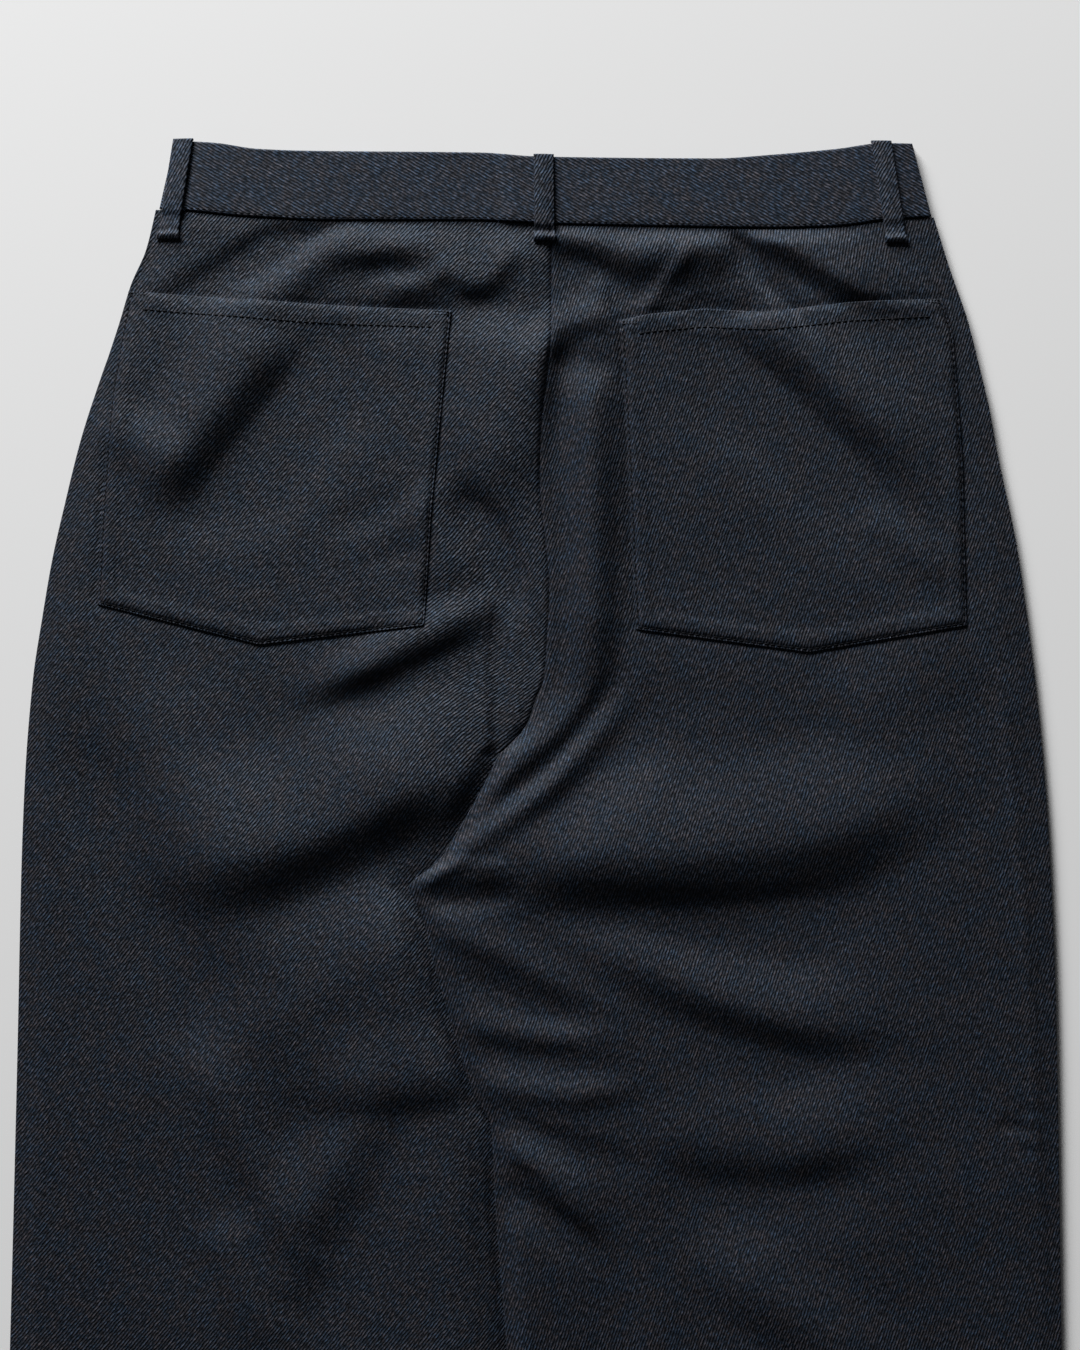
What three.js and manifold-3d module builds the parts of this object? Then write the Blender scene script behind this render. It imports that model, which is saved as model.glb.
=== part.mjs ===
// Wide-leg trousers of heavy twill, laid flat on their front with the back side up.
// Millimetres. X runs across the garment, +Y towards the waistband, +Z up from what it lies on.
// The origin is under the middle of the garment. In the tables "x" is measured from that middle
// and "down" from the top of the belt loops towards the hems. Left and right are as seen from above.

import * as THREE from 'three';
import { mergeVertices } from 'three/addons/utils/BufferGeometryUtils.js';
import Module from 'manifold-3d';

const wasm = await Module();
wasm.setup();

// Driving dimensions
const LENGTH = 1042; // belt-loop tops to hems
const CLOTH = 1.2; // one layer of heavy twill
const BAND_CLOTH = 1.8; // folded waistband, two layers pressed
const POCKET_CLOTH = 1.4;
const LOOP_CLOTH = 1.6; // belt loop, folded in three
const GAP = 0.3; // between pieces that are sewn together or lie on each other
const CROTCH = 321; // down to where the right leg starts to lie over the left one
const LOOP_WIDTH = 10.5;

const BACK_LOW = CLOTH + GAP; // underside of a back panel that lies on its front panel
const LEG_STACK = 2 * (CLOTH + GAP); // the right leg rides this high on the left one

// Outline of the legs: outer edges, centre-back seam, and the inner edges below the crotch
const LEFT_OUTER = [
  { down: 36, x: -193 }, { down: 63, x: -200 }, { down: 80, x: -208 }, { down: 98, x: -214 },
  { down: 126, x: -224 }, { down: 157, x: -234 }, { down: 189, x: -242 }, { down: 220, x: -249 },
  { down: 249, x: -254 }, { down: 282, x: -259 }, { down: 331, x: -263 }, { down: 381, x: -265 },
  { down: 473, x: -267 }, { down: 631, x: -271 }, { down: LENGTH, x: -284 },
];
const RIGHT_OUTER = [
  { down: 40, x: 209 }, { down: 68, x: 218 }, { down: 96, x: 228 }, { down: 119, x: 234 },
  { down: 140, x: 239 }, { down: 162, x: 243 }, { down: 210, x: 253 }, { down: 243, x: 258 },
  { down: 282, x: 263 }, { down: 321, x: 267 }, { down: 359, x: 270 }, { down: 449, x: 274 },
  { down: 561, x: 276 }, { down: 631, x: 277 }, { down: LENGTH, x: 284 },
];
const CENTRE_SEAM = [
  { down: 44, x: 11 }, { down: 98, x: 11 }, { down: 123, x: 9 }, { down: 148, x: 6 },
  { down: 177, x: 5 }, { down: 211, x: 8 }, { down: 235, x: 10 }, { down: 256, x: 9 },
  { down: 282, x: 7 }, { down: 292, x: 3 }, { down: 304, x: -1 }, { down: 314, x: -8 },
  { down: CROTCH, x: -16 },
];
const RIGHT_INSEAM = [
  { down: 329, x: -20 }, { down: 344, x: -28 }, { down: 363, x: -39 }, { down: 377, x: -48 },
  { down: 390, x: -63 }, { down: 397, x: -60 }, { down: 409, x: -55 }, { down: 426, x: -51 },
  { down: 461, x: -41 }, { down: 498, x: -29 }, { down: 516, x: -20 }, { down: 555, x: -18 },
  { down: 606, x: -14 }, { down: 631, x: -12 }, { down: LENGTH, x: 8 },
];
const LEFT_INSEAM = [
  { down: 330, x: 0 }, { down: 342, x: 16 }, { down: 360, x: 36 }, { down: 377, x: 57 },
  { down: 390, x: 68 }, { down: 407, x: 65 }, { down: 426, x: 60 }, { down: 461, x: 49 },
  { down: 498, x: 36 }, { down: 516, x: 28 }, { down: 555, x: 23 }, { down: 631, x: 18 },
  { down: LENGTH, x: -5 },
];

// Waistband: its folded upper edge and the seam under it, from the left end to the right end
const BAND_TOP = [
  { x: -185, down: 1.5 }, { x: -163, down: 3 }, { x: -142, down: 6 }, { x: -117, down: 7 },
  { x: -25, down: 8 }, { x: 2, down: 10 }, { x: 96, down: 11 }, { x: 127, down: 9 },
  { x: 160, down: 6 }, { x: 184, down: 3 }, { x: 199, down: 3 },
];
const BAND_SEAM = [
  { x: -193, down: 37 }, { x: -179, down: 38 }, { x: -147, down: 41 }, { x: -103, down: 43 },
  { x: -33, down: 43 }, { x: 16, down: 45 }, { x: 64, down: 46 }, { x: 127, down: 47 },
  { x: 160, down: 46 }, { x: 184, down: 43 }, { x: 209, down: 41 },
];

// Folds of the back panels: a path of [x, down] points, half the width, and the height over the
// slack cloth around it. A negative height is a trough.
const LEFT_FOLDS = [
  // Waist dart with its swirl towards the middle
  { path: [[-103, 44], [-120, 66], [-143, 84]], half: 13, lift: 2.6 },
  { path: [[-117, 51], [-140, 64], [-169, 79]], half: 13, lift: -1.8 },
  { path: [[-101, 46], [-68, 56], [-52, 61]], half: 11, lift: 2.4 },
  { path: [[-94, 80], [-52, 84]], half: 10, lift: -1.6 },
  { path: [[-38, 62], [-28, 73]], half: 10, lift: 2 },
  // Slack beside the centre-back seam, and the step above the crotch
  { path: [[-18, 56], [-16, 120], [-20, 190]], half: 18, lift: 2 },
  { path: [[-24, 262], [-24, 316]], half: 12, lift: 2.2 },
  // Sag across the pocket
  { path: [[-104, 95], [-146, 137], [-182, 184]], half: 32, lift: -2 },
  { path: [[-62, 120], [-100, 170], [-150, 205]], half: 34, lift: 1.2 },
  // Diagonals under the pocket
  { path: [[-22, 234], [-50, 254], [-92, 272]], half: 13, lift: 2.2 },
  { path: [[-24, 250], [-46, 266], [-84, 284]], half: 12, lift: -2.2 },
  // The large fold across the thigh
  { path: [[-32, 313], [-72, 328], [-120, 345], [-184, 368]], half: 30, lift: 3.6 },
  { path: [[-26, 333], [-56, 342], [-90, 362], [-122, 386], [-138, 402]], half: 19, lift: -4.4 },
  { path: [[-122, 386], [-174, 390]], half: 16, lift: -1.8 },
  { path: [[-70, 382], [-110, 412], [-120, 440]], half: 26, lift: 1.4 },
  // The long crease down the leg
  { path: [[-230, 312], [-206, 366], [-182, 414], [-162, 456]], half: 16, lift: -2.2 },
  { path: [[-162, 456], [-158, 502], [-122, 564]], half: 14, lift: -2.2 },
  { path: [[-190, 340], [-158, 404], [-132, 466], [-118, 524]], half: 24, lift: 1.8 },
  { path: [[-148, 594], [-156, 640]], half: 18, lift: -1.4 },
  { path: [[-99, 496], [-60, 499], [-30, 491]], half: 12, lift: -2 },
  // Soft lengths towards the hem
  { path: [[-90, 600], [-112, 760], [-96, 920]], half: 34, lift: 1.4 },
  { path: [[-214, 620], [-206, 800], [-214, 980]], half: 30, lift: -1.2 },
  { path: [[-60, 720], [-40, 860]], half: 26, lift: -1.2 },
];
const RIGHT_FOLDS = [
  // Waist dart and the slack beside it
  { path: [[108, 52], [128, 61], [168, 84]], half: 12, lift: -2.2 },
  { path: [[136, 55], [156, 64], [180, 76]], half: 12, lift: 2.2 },
  { path: [[100, 54], [79, 67], [58, 88]], half: 12, lift: 2.2 },
  { path: [[18, 47], [38, 60], [62, 71]], half: 11, lift: -2.2 },
  { path: [[84, 76], [118, 86]], half: 12, lift: -1.8 },
  // Tuck and ridge beside the centre-back seam
  { path: [[18, 103], [38, 110]], half: 10, lift: -2.2 },
  { path: [[26, 150], [25, 200], [27, 258]], half: 11, lift: 2.4 },
  { path: [[44, 137], [43, 200], [46, 262]], half: 11, lift: -2 },
  // Sag across the pocket
  { path: [[88, 100], [140, 126], [182, 158], [208, 199]], half: 30, lift: -2.2 },
  { path: [[90, 160], [140, 196], [180, 230]], half: 36, lift: 1 },
  // The crotch: rolled edge, and the troughs that run up from it
  { path: [[24, 286], [2, 316], [-16, 345], [-36, 374]], half: 15, lift: 3 },
  { path: [[62, 288], [38, 314], [14, 343], [-6, 362]], half: 12, lift: -3 },
  { path: [[76, 300], [60, 330]], half: 22, lift: 1.6 },
  // The broad fold across the thigh
  { path: [[34, 352], [100, 356], [160, 334], [204, 304]], half: 30, lift: 2.6 },
  { path: [[-14, 378], [62, 390], [130, 382], [182, 360], [216, 330]], half: 27, lift: -3.6 },
  { path: [[-30, 396], [40, 414], [120, 416], [200, 392]], half: 22, lift: 1.8 },
  // Small folds that radiate from the inner leg
  { path: [[-46, 420], [-10, 438], [12, 449]], half: 10, lift: -1.8 },
  { path: [[38, 426], [88, 449], [120, 464], [180, 470]], half: 16, lift: -2.2 },
  { path: [[-16, 476], [56, 490]], half: 10, lift: -1.6 },
  { path: [[30, 500], [100, 510], [190, 500]], half: 20, lift: 1.4 },
  { path: [[84, 528], [172, 532]], half: 14, lift: -1.6 },
  { path: [[-16, 517], [8, 540], [34, 570]], half: 13, lift: 2.6 },
  { path: [[-16, 540], [10, 556], [30, 580]], half: 10, lift: -2.4 },
  { path: [[110, 588], [136, 628]], half: 16, lift: -1.6 },
  // Soft lengths towards the hem
  { path: [[100, 640], [120, 780], [104, 930]], half: 36, lift: 1.4 },
  { path: [[206, 600], [214, 760], [206, 940]], half: 30, lift: -1.2 },
  { path: [[46, 700], [58, 860]], half: 26, lift: -1.2 },
];

// Patch pockets: corners and bends of the outline as [x, down], clockwise from the upper left
const LEFT_POCKET = [
  [-209, 80], [-138, 85], [-91, 88], [-41, 90], [-46, 141], [-51, 193], [-55, 254],
  [-141, 264], [-225, 243], [-223, 197], [-218, 133],
];
const RIGHT_POCKET = [
  [47, 95], [62, 92], [90, 89], [122, 91], [165, 86], [214, 84], [220, 102], [225, 168],
  [227, 254], [145, 268], [55, 256], [51, 168],
];

// Belt loops on the back: middle of the upper end, middle of the lower end
const BACK_LOOPS = [
  { name: 'left_back_loop', topX: -180.2, lowX: -188.6, low: 53 },
  { name: 'centre_back_loop', topX: 7, lowX: 7.6, low: 54 },
  { name: 'right_back_loop', topX: 182.2, lowX: 190.6, low: 55 },
];

// What lies under the front waistband: how far along the band it is, from 0 at the left end to 1
// at the right end, and its size
const FRONT_LOOP_THICK = 1.5;
const LOOP_PLACES = [0.24, 0.77];
const BUTTON = { along: 0.475, radius: 7.5, thick: 2.2 };

// Slack between a back panel and its front panel, and how far from each edge it fades in
const SLACK = { open: 2.4, least: 0.15, waist: 2.1, seam: 1.3, hem: 0.5 };
const REACH = { waist: 14, hem: 60, outer: 20, inner: 12, seam: 40, underLeg: 14 };
const PRESSED = 6; // the left leg is pressed flat this far out of the right leg's edge

const clamp01 = (t) => Math.min(1, Math.max(0, t));
const smooth = (t) => clamp01(t) ** 2 * (3 - 2 * clamp01(t));
const mix = (a, b, t) => a + (b - a) * t;
// Rise of a rolled edge: steep at the edge, level at the given distance
const roll = (distance, reach) => Math.sin((Math.PI / 2) * clamp01(distance / reach));
const toY = (down) => LENGTH / 2 - down;

// Smooth curve through the rows of a table, without overshoot
function through(rows, from, to) {
  const last = rows.length - 1;
  const grade = rows.slice(1).map((row, i) => (row[to] - rows[i][to]) / (row[from] - rows[i][from]));
  const slope = rows.map((_, i) => {
    if (i === 0 || i === last) return grade[i === 0 ? 0 : last - 1];
    const product = grade[i - 1] * grade[i];
    return product <= 0 ? 0 : (2 * product) / (grade[i - 1] + grade[i]);
  });
  return (at) => {
    if (at <= rows[0][from]) return rows[0][to];
    if (at >= rows[last][from]) return rows[last][to];
    const i = rows.findIndex((row) => at < row[from]) - 1;
    const span = rows[i + 1][from] - rows[i][from];
    const t = (at - rows[i][from]) / span;
    const bend = (1 - t) * slope[i] - t * slope[i + 1];
    const lean = grade[i] * (2 * t - 1);
    return mix(rows[i][to], rows[i + 1][to], t) + t * (1 - t) * span * (bend + lean);
  };
}

const leftOuter = through(LEFT_OUTER, 'down', 'x');
const rightOuter = through(RIGHT_OUTER, 'down', 'x');
const leftInner = through([...CENTRE_SEAM, ...LEFT_INSEAM], 'down', 'x');
const rightInner = through([...CENTRE_SEAM, ...RIGHT_INSEAM], 'down', 'x');
const bandTop = through(BAND_TOP, 'x', 'down');
const bandSeam = through(BAND_SEAM, 'x', 'down');

// Height that a list of folds adds at a point. A fold fades over a share of its length, to a
// share of its height at its tips, and its foot runs out past its half width.
const END_FADE = 0.22;
const END_SHARE = 0.35;
const FOOT = 1.25;

function foldHeight(folds, x, down) {
  let height = 0;
  for (const { path, half, lift } of folds) {
    let nearest = Infinity;
    let along = 0;
    for (let i = 0; i + 1 < path.length; i += 1) {
      const [ax, ad] = path[i];
      const dx = path[i + 1][0] - ax;
      const dd = path[i + 1][1] - ad;
      const t = clamp01(((x - ax) * dx + (down - ad) * dd) / (dx * dx + dd * dd));
      const distance = Math.hypot(x - ax - t * dx, down - ad - t * dd);
      if (distance < nearest) {
        nearest = distance;
        along = (i + t) / (path.length - 1);
      }
    }
    const ends = mix(END_SHARE, 1, smooth(Math.min(along, 1 - along) / END_FADE));
    height += lift * ends * (1 - smooth(nearest / (FOOT * half)));
  }
  return height;
}

const FACET_EASE = 0.2; // more room where straight stations cut across the curved seam
const waistSeam = (x) => bandSeam(x) + GAP + FACET_EASE;

function slackAt(name, x, down) {
  const { folds, outer, inner } = SIDES[name];
  const open = Math.max(SLACK.least, SLACK.open + foldHeight(folds, x, down));
  const belowWaist = mix(SLACK.waist, open, smooth((down - waistSeam(x)) / REACH.waist));
  const aboveHem = mix(SLACK.hem, belowWaist, smooth((LENGTH - down) / REACH.hem));
  const rolled = aboveHem * roll(Math.abs(x - outer(down)), REACH.outer);
  const seam = SLACK.seam * smooth((CROTCH - down) / REACH.seam);
  const slack = mix(seam, rolled, roll(Math.abs(x - inner(down)), REACH.inner));
  if (name === 'right' || down < CROTCH) return slack;
  return slack * roll(rightInner(down) - PRESSED - x, REACH.underLeg);
}

// How high the right leg rides: full over the left leg, down to nothing beside it. The ramp
// starts clear of the hidden left inseam, and fades out above the crotch and where the legs part.
const RAMP = { width: 14, least: 22, clear: 1.5, start: 282, partFrom: -8, partOver: 6 };
const overlap = (down) => leftInner(down) - rightInner(down);
const rampTop = (down) => rightInner(down)
  + Math.max(down < CROTCH ? 0 : overlap(down) + RAMP.clear, RAMP.least);

function rideHeight(down) {
  const above = smooth((down - RAMP.start) / (CROTCH - RAMP.start));
  if (down < CROTCH) return LEG_STACK * above;
  return LEG_STACK * above * smooth((overlap(down) - RAMP.partFrom) / RAMP.partOver);
}

// Columns of the panels: marks across the panel from the outer edge inwards, with the number of
// columns between them for the back and for the flat front. Half of the gap at the centre seam is
// taken from each side, and widened because the seam runs at a slant.
const HALF_SEAM = GAP / 1.5;
const COVER_LEAST = { above: 12, below: 4 };
const SIDES = {
  left: {
    folds: LEFT_FOLDS,
    outer: leftOuter,
    inner: leftInner,
    marks: (down) => [
      leftOuter(down),
      down < CROTCH
        ? leftInner(down) - COVER_LEAST.above
        : Math.min(rightInner(down), leftInner(down) - COVER_LEAST.below),
      leftInner(down) - HALF_SEAM,
    ],
    ride: () => 0,
    backColumns: [15, 1],
    frontColumns: [6, 1],
  },
  right: {
    folds: RIGHT_FOLDS,
    outer: rightOuter,
    inner: rightInner,
    marks: (down) => [
      rightOuter(down),
      rampTop(down) + RAMP.width,
      rampTop(down),
      rightInner(down) + HALF_SEAM,
    ],
    ride: (mark) => [0, 0, 1, 1][mark],
    backColumns: [12, 1, 4],
    frontColumns: [6, 1, 1],
  },
};

// Rows of the panels, closer where the folds are closer
const FIRST_ROW = 44;
const ROW_BANDS = [
  { to: RAMP.start, rows: 18, frontRows: 6 },
  { to: CROTCH, rows: 3, frontRows: 3 },
  { to: 409, rows: 9, frontRows: 9 },
  { to: 640, rows: 15, frontRows: 15 },
  { to: LENGTH, rows: 12, frontRows: 12 },
];

function rowsDown(count) {
  const downs = [FIRST_ROW];
  for (const band of ROW_BANDS) {
    const start = downs.at(-1);
    for (let i = 1; i <= band[count]; i += 1) downs.push(mix(start, band.to, i / band[count]));
  }
  return downs;
}

// Stations of one row: x with the share of the ride height there
function rowStations(side, columns, down) {
  const marks = side.marks(down);
  const stations = [{ x: marks[0], share: side.ride(0) }];
  columns.forEach((count, m) => {
    for (let i = 1; i <= count; i += 1) {
      stations.push({
        x: mix(marks[m], marks[m + 1], i / count),
        share: mix(side.ride(m), side.ride(m + 1), i / count),
      });
    }
  });
  return stations;
}

// The first rows follow the waist seam and straighten out below it
const WAIST_BLEND = 70;
const waistShift = (x, down) => (waistSeam(x) - FIRST_ROW)
  * clamp01(1 - (down - FIRST_ROW) / WAIST_BLEND);

function panelGrid(name, layer) {
  const side = SIDES[name];
  const isBack = layer === 'back';
  const columns = isBack ? side.backColumns : side.frontColumns;
  return rowsDown(isBack ? 'rows' : 'frontRows').map((row) => rowStations(side, columns, row)
    .map(({ x, share }) => {
      const down = row + waistShift(x, row);
      const ride = share * rideHeight(row);
      const low = isBack ? ride + BACK_LOW + slackAt(name, x, down) : ride;
      return { x, y: toY(down), low, high: low + CLOTH };
    }));
}

const WELD = 1e-4; // points closer than this are one

// Closed wall over a grid of stations, each with a place and the heights of its two faces
function wall(grid) {
  const across = grid[0].length;
  const count = grid.length * across;
  const positions = [];
  for (const face of ['high', 'low']) {
    for (const { x, y, [face]: z } of grid.flat()) positions.push(x, y, z);
  }
  const high = (r, c) => r * across + c;
  const low = (r, c) => count + high(r, c);
  const index = [];
  const strip = (a, b, c, d) => index.push(a, b, c, a, c, d);
  for (let r = 0; r + 1 < grid.length; r += 1) {
    for (let c = 0; c + 1 < across; c += 1) {
      strip(high(r, c), high(r + 1, c), high(r + 1, c + 1), high(r, c + 1));
      index.push(low(r + 1, c + 1), low(r + 1, c), low(r, c));
      index.push(low(r, c + 1), low(r + 1, c + 1), low(r, c));
    }
    strip(high(r, 0), low(r, 0), low(r + 1, 0), high(r + 1, 0));
    strip(high(r, across - 1), high(r + 1, across - 1), low(r + 1, across - 1), low(r, across - 1));
  }
  const end = grid.length - 1;
  for (let c = 0; c + 1 < across; c += 1) {
    strip(high(0, c), high(0, c + 1), low(0, c + 1), low(0, c));
    strip(high(end, c), low(end, c), low(end, c + 1), high(end, c + 1));
  }
  const turned = grid[0][across - 1].x < grid[0][0].x;
  if (turned) index.reverse();
  const geometry = new THREE.BufferGeometry();
  geometry.setAttribute('position', new THREE.Float32BufferAttribute(positions, 3));
  geometry.setIndex(index);
  return geometry;
}

// Solids for cutting
function toSolid(geometry) {
  const plain = geometry.clone();
  plain.deleteAttribute('normal');
  plain.deleteAttribute('uv');
  const merged = mergeVertices(plain, WELD);
  return new wasm.Manifold(new wasm.Mesh({
    numProp: 3,
    vertProperties: new Float32Array(merged.attributes.position.array),
    triVerts: new Uint32Array(merged.index.array),
  }));
}

function toGeometry(solid) {
  const mesh = solid.getMesh();
  const geometry = new THREE.BufferGeometry();
  geometry.setAttribute('position', new THREE.Float32BufferAttribute(mesh.vertProperties, 3));
  geometry.setIndex(Array.from(mesh.triVerts));
  return geometry;
}

// A patch pocket is the panel's own grid moved out, cut to the pocket's outline
const CUTTER = { margin: 20, depth: 40 };

function pocket(name, outline) {
  const lowest = Math.max(...outline.map(([, down]) => down)) + CUTTER.margin;
  const raised = panelGrid(name, 'back')
    .filter((row) => row[0].y > toY(lowest))
    .map((row) => row.map(({ x, y, high }) => (
      { x, y, low: high + GAP, high: high + GAP + POCKET_CLOTH })));
  const shape = new THREE.Shape(outline.map(([x, down]) => new THREE.Vector2(x, toY(down))));
  const cutter = new THREE.ExtrudeGeometry(shape, { depth: CUTTER.depth, bevelEnabled: false });
  return toGeometry(toSolid(wall(raised)).intersect(toSolid(cutter)));
}

// The waistband between its ends: "along" runs from 0 at the left end to 1 at the right end,
// "across" from 0 at the folded upper edge to 1 at the seam
const END_SLOPE = { top: [-185, 199], seam: [-193, 209] };
const BAND_LENGTH = END_SLOPE.seam[1] - END_SLOPE.seam[0];
const BAND_ROWS = [0, 0.2, 0.5, 0.8, 1];
const CENTRE_ALONG = 0.505; // where the two front halves meet, under the centre-back seam

function bandPoint(along, across) {
  const topX = mix(...END_SLOPE.top, along);
  const seamX = mix(...END_SLOPE.seam, along);
  const down = mix(bandTop(topX), bandSeam(seamX), across);
  return { x: mix(topX, seamX, across), y: toY(down) };
}

// Lift of the front waistband over its belt loops and its button
const LIFT_SLOPE = 12 / BAND_LENGTH;
const LIFT_FLAT = 3 / BAND_LENGTH; // level cloth on each side of what lifts it
const lifters = [
  ...LOOP_PLACES.map((along) => (
    { along, half: LOOP_WIDTH / 2, height: FRONT_LOOP_THICK + GAP, across: [0, 0.8] })),
  { along: BUTTON.along, half: BUTTON.radius, height: BUTTON.thick + GAP, across: [0.2, 0.8] },
];

function bandLift(along, across) {
  let lift = 0;
  for (const { along: middle, half, height, across: [first, last] } of lifters) {
    const beyond = Math.abs(along - middle) - half / BAND_LENGTH - LIFT_FLAT;
    const isOver = across >= first && across <= last;
    if (isOver) lift = Math.max(lift, height * (1 - clamp01(beyond / LIFT_SLOPE)));
  }
  return lift;
}

const BAND_SLACK = 1.8;
const BAND_ROLL = 20; // reach of the rolled ends
function bandGrid(from, to, isBack) {
  const BASE_COLUMNS = 14;
  const stations = [from, to];
  for (let i = 1; i < BASE_COLUMNS; i += 1) stations.push(i / BASE_COLUMNS);
  for (const { along, half } of lifters) {
    const flat = half / BAND_LENGTH + LIFT_FLAT;
    for (const reach of [-flat - LIFT_SLOPE, -flat, flat, flat + LIFT_SLOPE]) {
      stations.push(along + reach);
    }
  }
  const NEAR = 0.004;
  const kept = stations
    .filter((s) => s === from || s === to || (s > from + NEAR && s < to - NEAR))
    .sort((a, b) => a - b);
  return BAND_ROWS.map((across) => kept.map((along) => {
    const lift = bandLift(along, across);
    const fromEnd = Math.min(along, 1 - along) * BAND_LENGTH;
    const slack = Math.max(lift, BAND_SLACK * roll(fromEnd, BAND_ROLL));
    const low = isBack ? BAND_CLOTH + GAP + slack : lift;
    return { ...bandPoint(along, across), low, high: low + BAND_CLOTH };
  }));
}

// Upper face of the back waistband and of the back panels
function bandFace(x, down) {
  const across = clamp01((down - bandTop(x)) / (bandSeam(x) - bandTop(x)));
  const left = mix(END_SLOPE.top[0], END_SLOPE.seam[0], across);
  const right = mix(END_SLOPE.top[1], END_SLOPE.seam[1], across);
  const along = clamp01((x - left) / (right - left));
  const fromEnd = Math.min(along, 1 - along) * BAND_LENGTH;
  const slack = Math.max(bandLift(along, 0.5), BAND_SLACK * roll(fromEnd, BAND_ROLL));
  return 2 * BAND_CLOTH + GAP + slack;
}

const backFace = (x, down) => BACK_LOW + CLOTH
  + slackAt(x < leftInner(down) ? 'left' : 'right', x, down);

// A belt loop on the back: hooked over the band's upper edge, lying down the band and ending in
// a folded bar on the panel below the seam. Each row follows what is under it.
function backLoop({ topX, lowX, low }) {
  const HOOK = 1.5; // beyond the band's edge
  const HOOK_DEPTH = 2.4;
  const EDGE_GAP = GAP + 0.1;
  const STEP = 0.05;
  const BAR = 5; // folded lower end
  const BAR_THICK = 2.6;
  const rows = [
    { down: (x) => bandTop(x) - HOOK, face: bandFace, rise: -HOOK_DEPTH, thick: 3.6 },
    { down: (x) => bandTop(x) - EDGE_GAP - STEP, face: bandFace, rise: -HOOK_DEPTH, thick: 4.2 },
    { down: (x) => bandTop(x) - EDGE_GAP, face: bandFace, rise: 0, thick: 1.8 },
    { down: (x) => bandTop(x) + 5, face: bandFace, rise: 0.1, thick: LOOP_CLOTH },
    { down: (x) => mix(bandTop(x), bandSeam(x), 0.5), face: bandFace, rise: 0.5, thick: LOOP_CLOTH },
    { down: (x) => bandSeam(x) - 2, face: bandFace, rise: 0.3, thick: LOOP_CLOTH },
    { down: (x) => bandSeam(x) + 0.6, face: bandFace, rise: 0.25, thick: LOOP_CLOTH },
    { down: (x) => bandSeam(x) + 3.8, face: backFace, rise: 0.3, thick: LOOP_CLOTH },
    { down: () => low - BAR + 1, face: backFace, rise: 0.3, thick: BAR_THICK },
    { down: () => low, face: backFace, rise: 0.3, thick: BAR_THICK - 0.6 },
  ];
  return wall(rows.map((row) => [-1, 0, 1].map((edge) => {
    const along = row.down(topX) / low;
    const x = mix(topX, lowX, along) + (edge * LOOP_WIDTH) / 2;
    const down = row.down(x);
    const under = row.face(x, down) + GAP + row.rise;
    const crown = edge === 0 ? 0.15 : 0;
    return { x, y: toY(down), low: under, high: under + row.thick + crown };
  })));
}

// A belt loop on the front lies flat under the band
function frontLoop(along) {
  const half = LOOP_WIDTH / 2 / BAND_LENGTH;
  return wall([0.02, 0.4, 0.74].map((across) => [-half, half].map((edge) => (
    { ...bandPoint(along + edge, across), low: 0, high: FRONT_LOOP_THICK }))));
}

// The button lies face down under the front band
function button() {
  const { radius, thick, along } = BUTTON;
  const profile = [
    [0, 0.5], [radius - 2.6, 0.5], [radius - 2, 0], [radius - 0.5, 0], [radius, 0.6],
    [radius - 0.2, thick - 0.4], [radius - 0.9, thick], [0, thick],
  ].map(([r, z]) => new THREE.Vector2(r, z));
  const place = bandPoint(along, 0.5);
  const geometry = new THREE.LatheGeometry(profile, 24);
  geometry.rotateX(Math.PI / 2);
  geometry.translate(place.x, place.y, 0);
  return geometry;
}

const twill = { color: 0x23262d, roughness: 0.92, metalness: 0 };
const horn = { color: 0x1b1816, roughness: 0.35, metalness: 0 };

const trousers = new THREE.Group();
trousers.name = 'wide_leg_trousers';

function add(name, geometry, finish) {
  const clean = geometry.clone();
  clean.deleteAttribute('normal');
  clean.deleteAttribute('uv');
  const merged = mergeVertices(clean, WELD);
  merged.computeVertexNormals();
  const mesh = new THREE.Mesh(merged, new THREE.MeshStandardMaterial(finish));
  mesh.name = name;
  trousers.add(mesh);
}

add('left_front_panel', wall(panelGrid('left', 'front')), twill);
add('right_front_panel', wall(panelGrid('right', 'front')), twill);
add('left_back_panel', wall(panelGrid('left', 'back')), twill);
add('right_back_panel', wall(panelGrid('right', 'back')), twill);
add('left_back_pocket', pocket('left', LEFT_POCKET), twill);
add('right_back_pocket', pocket('right', RIGHT_POCKET), twill);

const halfGap = GAP / 2 / BAND_LENGTH;
add('left_front_waistband', wall(bandGrid(0, CENTRE_ALONG - halfGap, false)), twill);
add('right_front_waistband', wall(bandGrid(CENTRE_ALONG + halfGap, 1, false)), twill);
add('back_waistband', wall(bandGrid(0, 1, true)), twill);

BACK_LOOPS.forEach((loop) => add(loop.name, backLoop(loop), twill));
['left_front_loop', 'right_front_loop'].forEach((name, i) => {
  add(name, frontLoop(LOOP_PLACES[i]), twill);
});
add('waist_button', button(), horn);

export default trousers;
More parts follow.
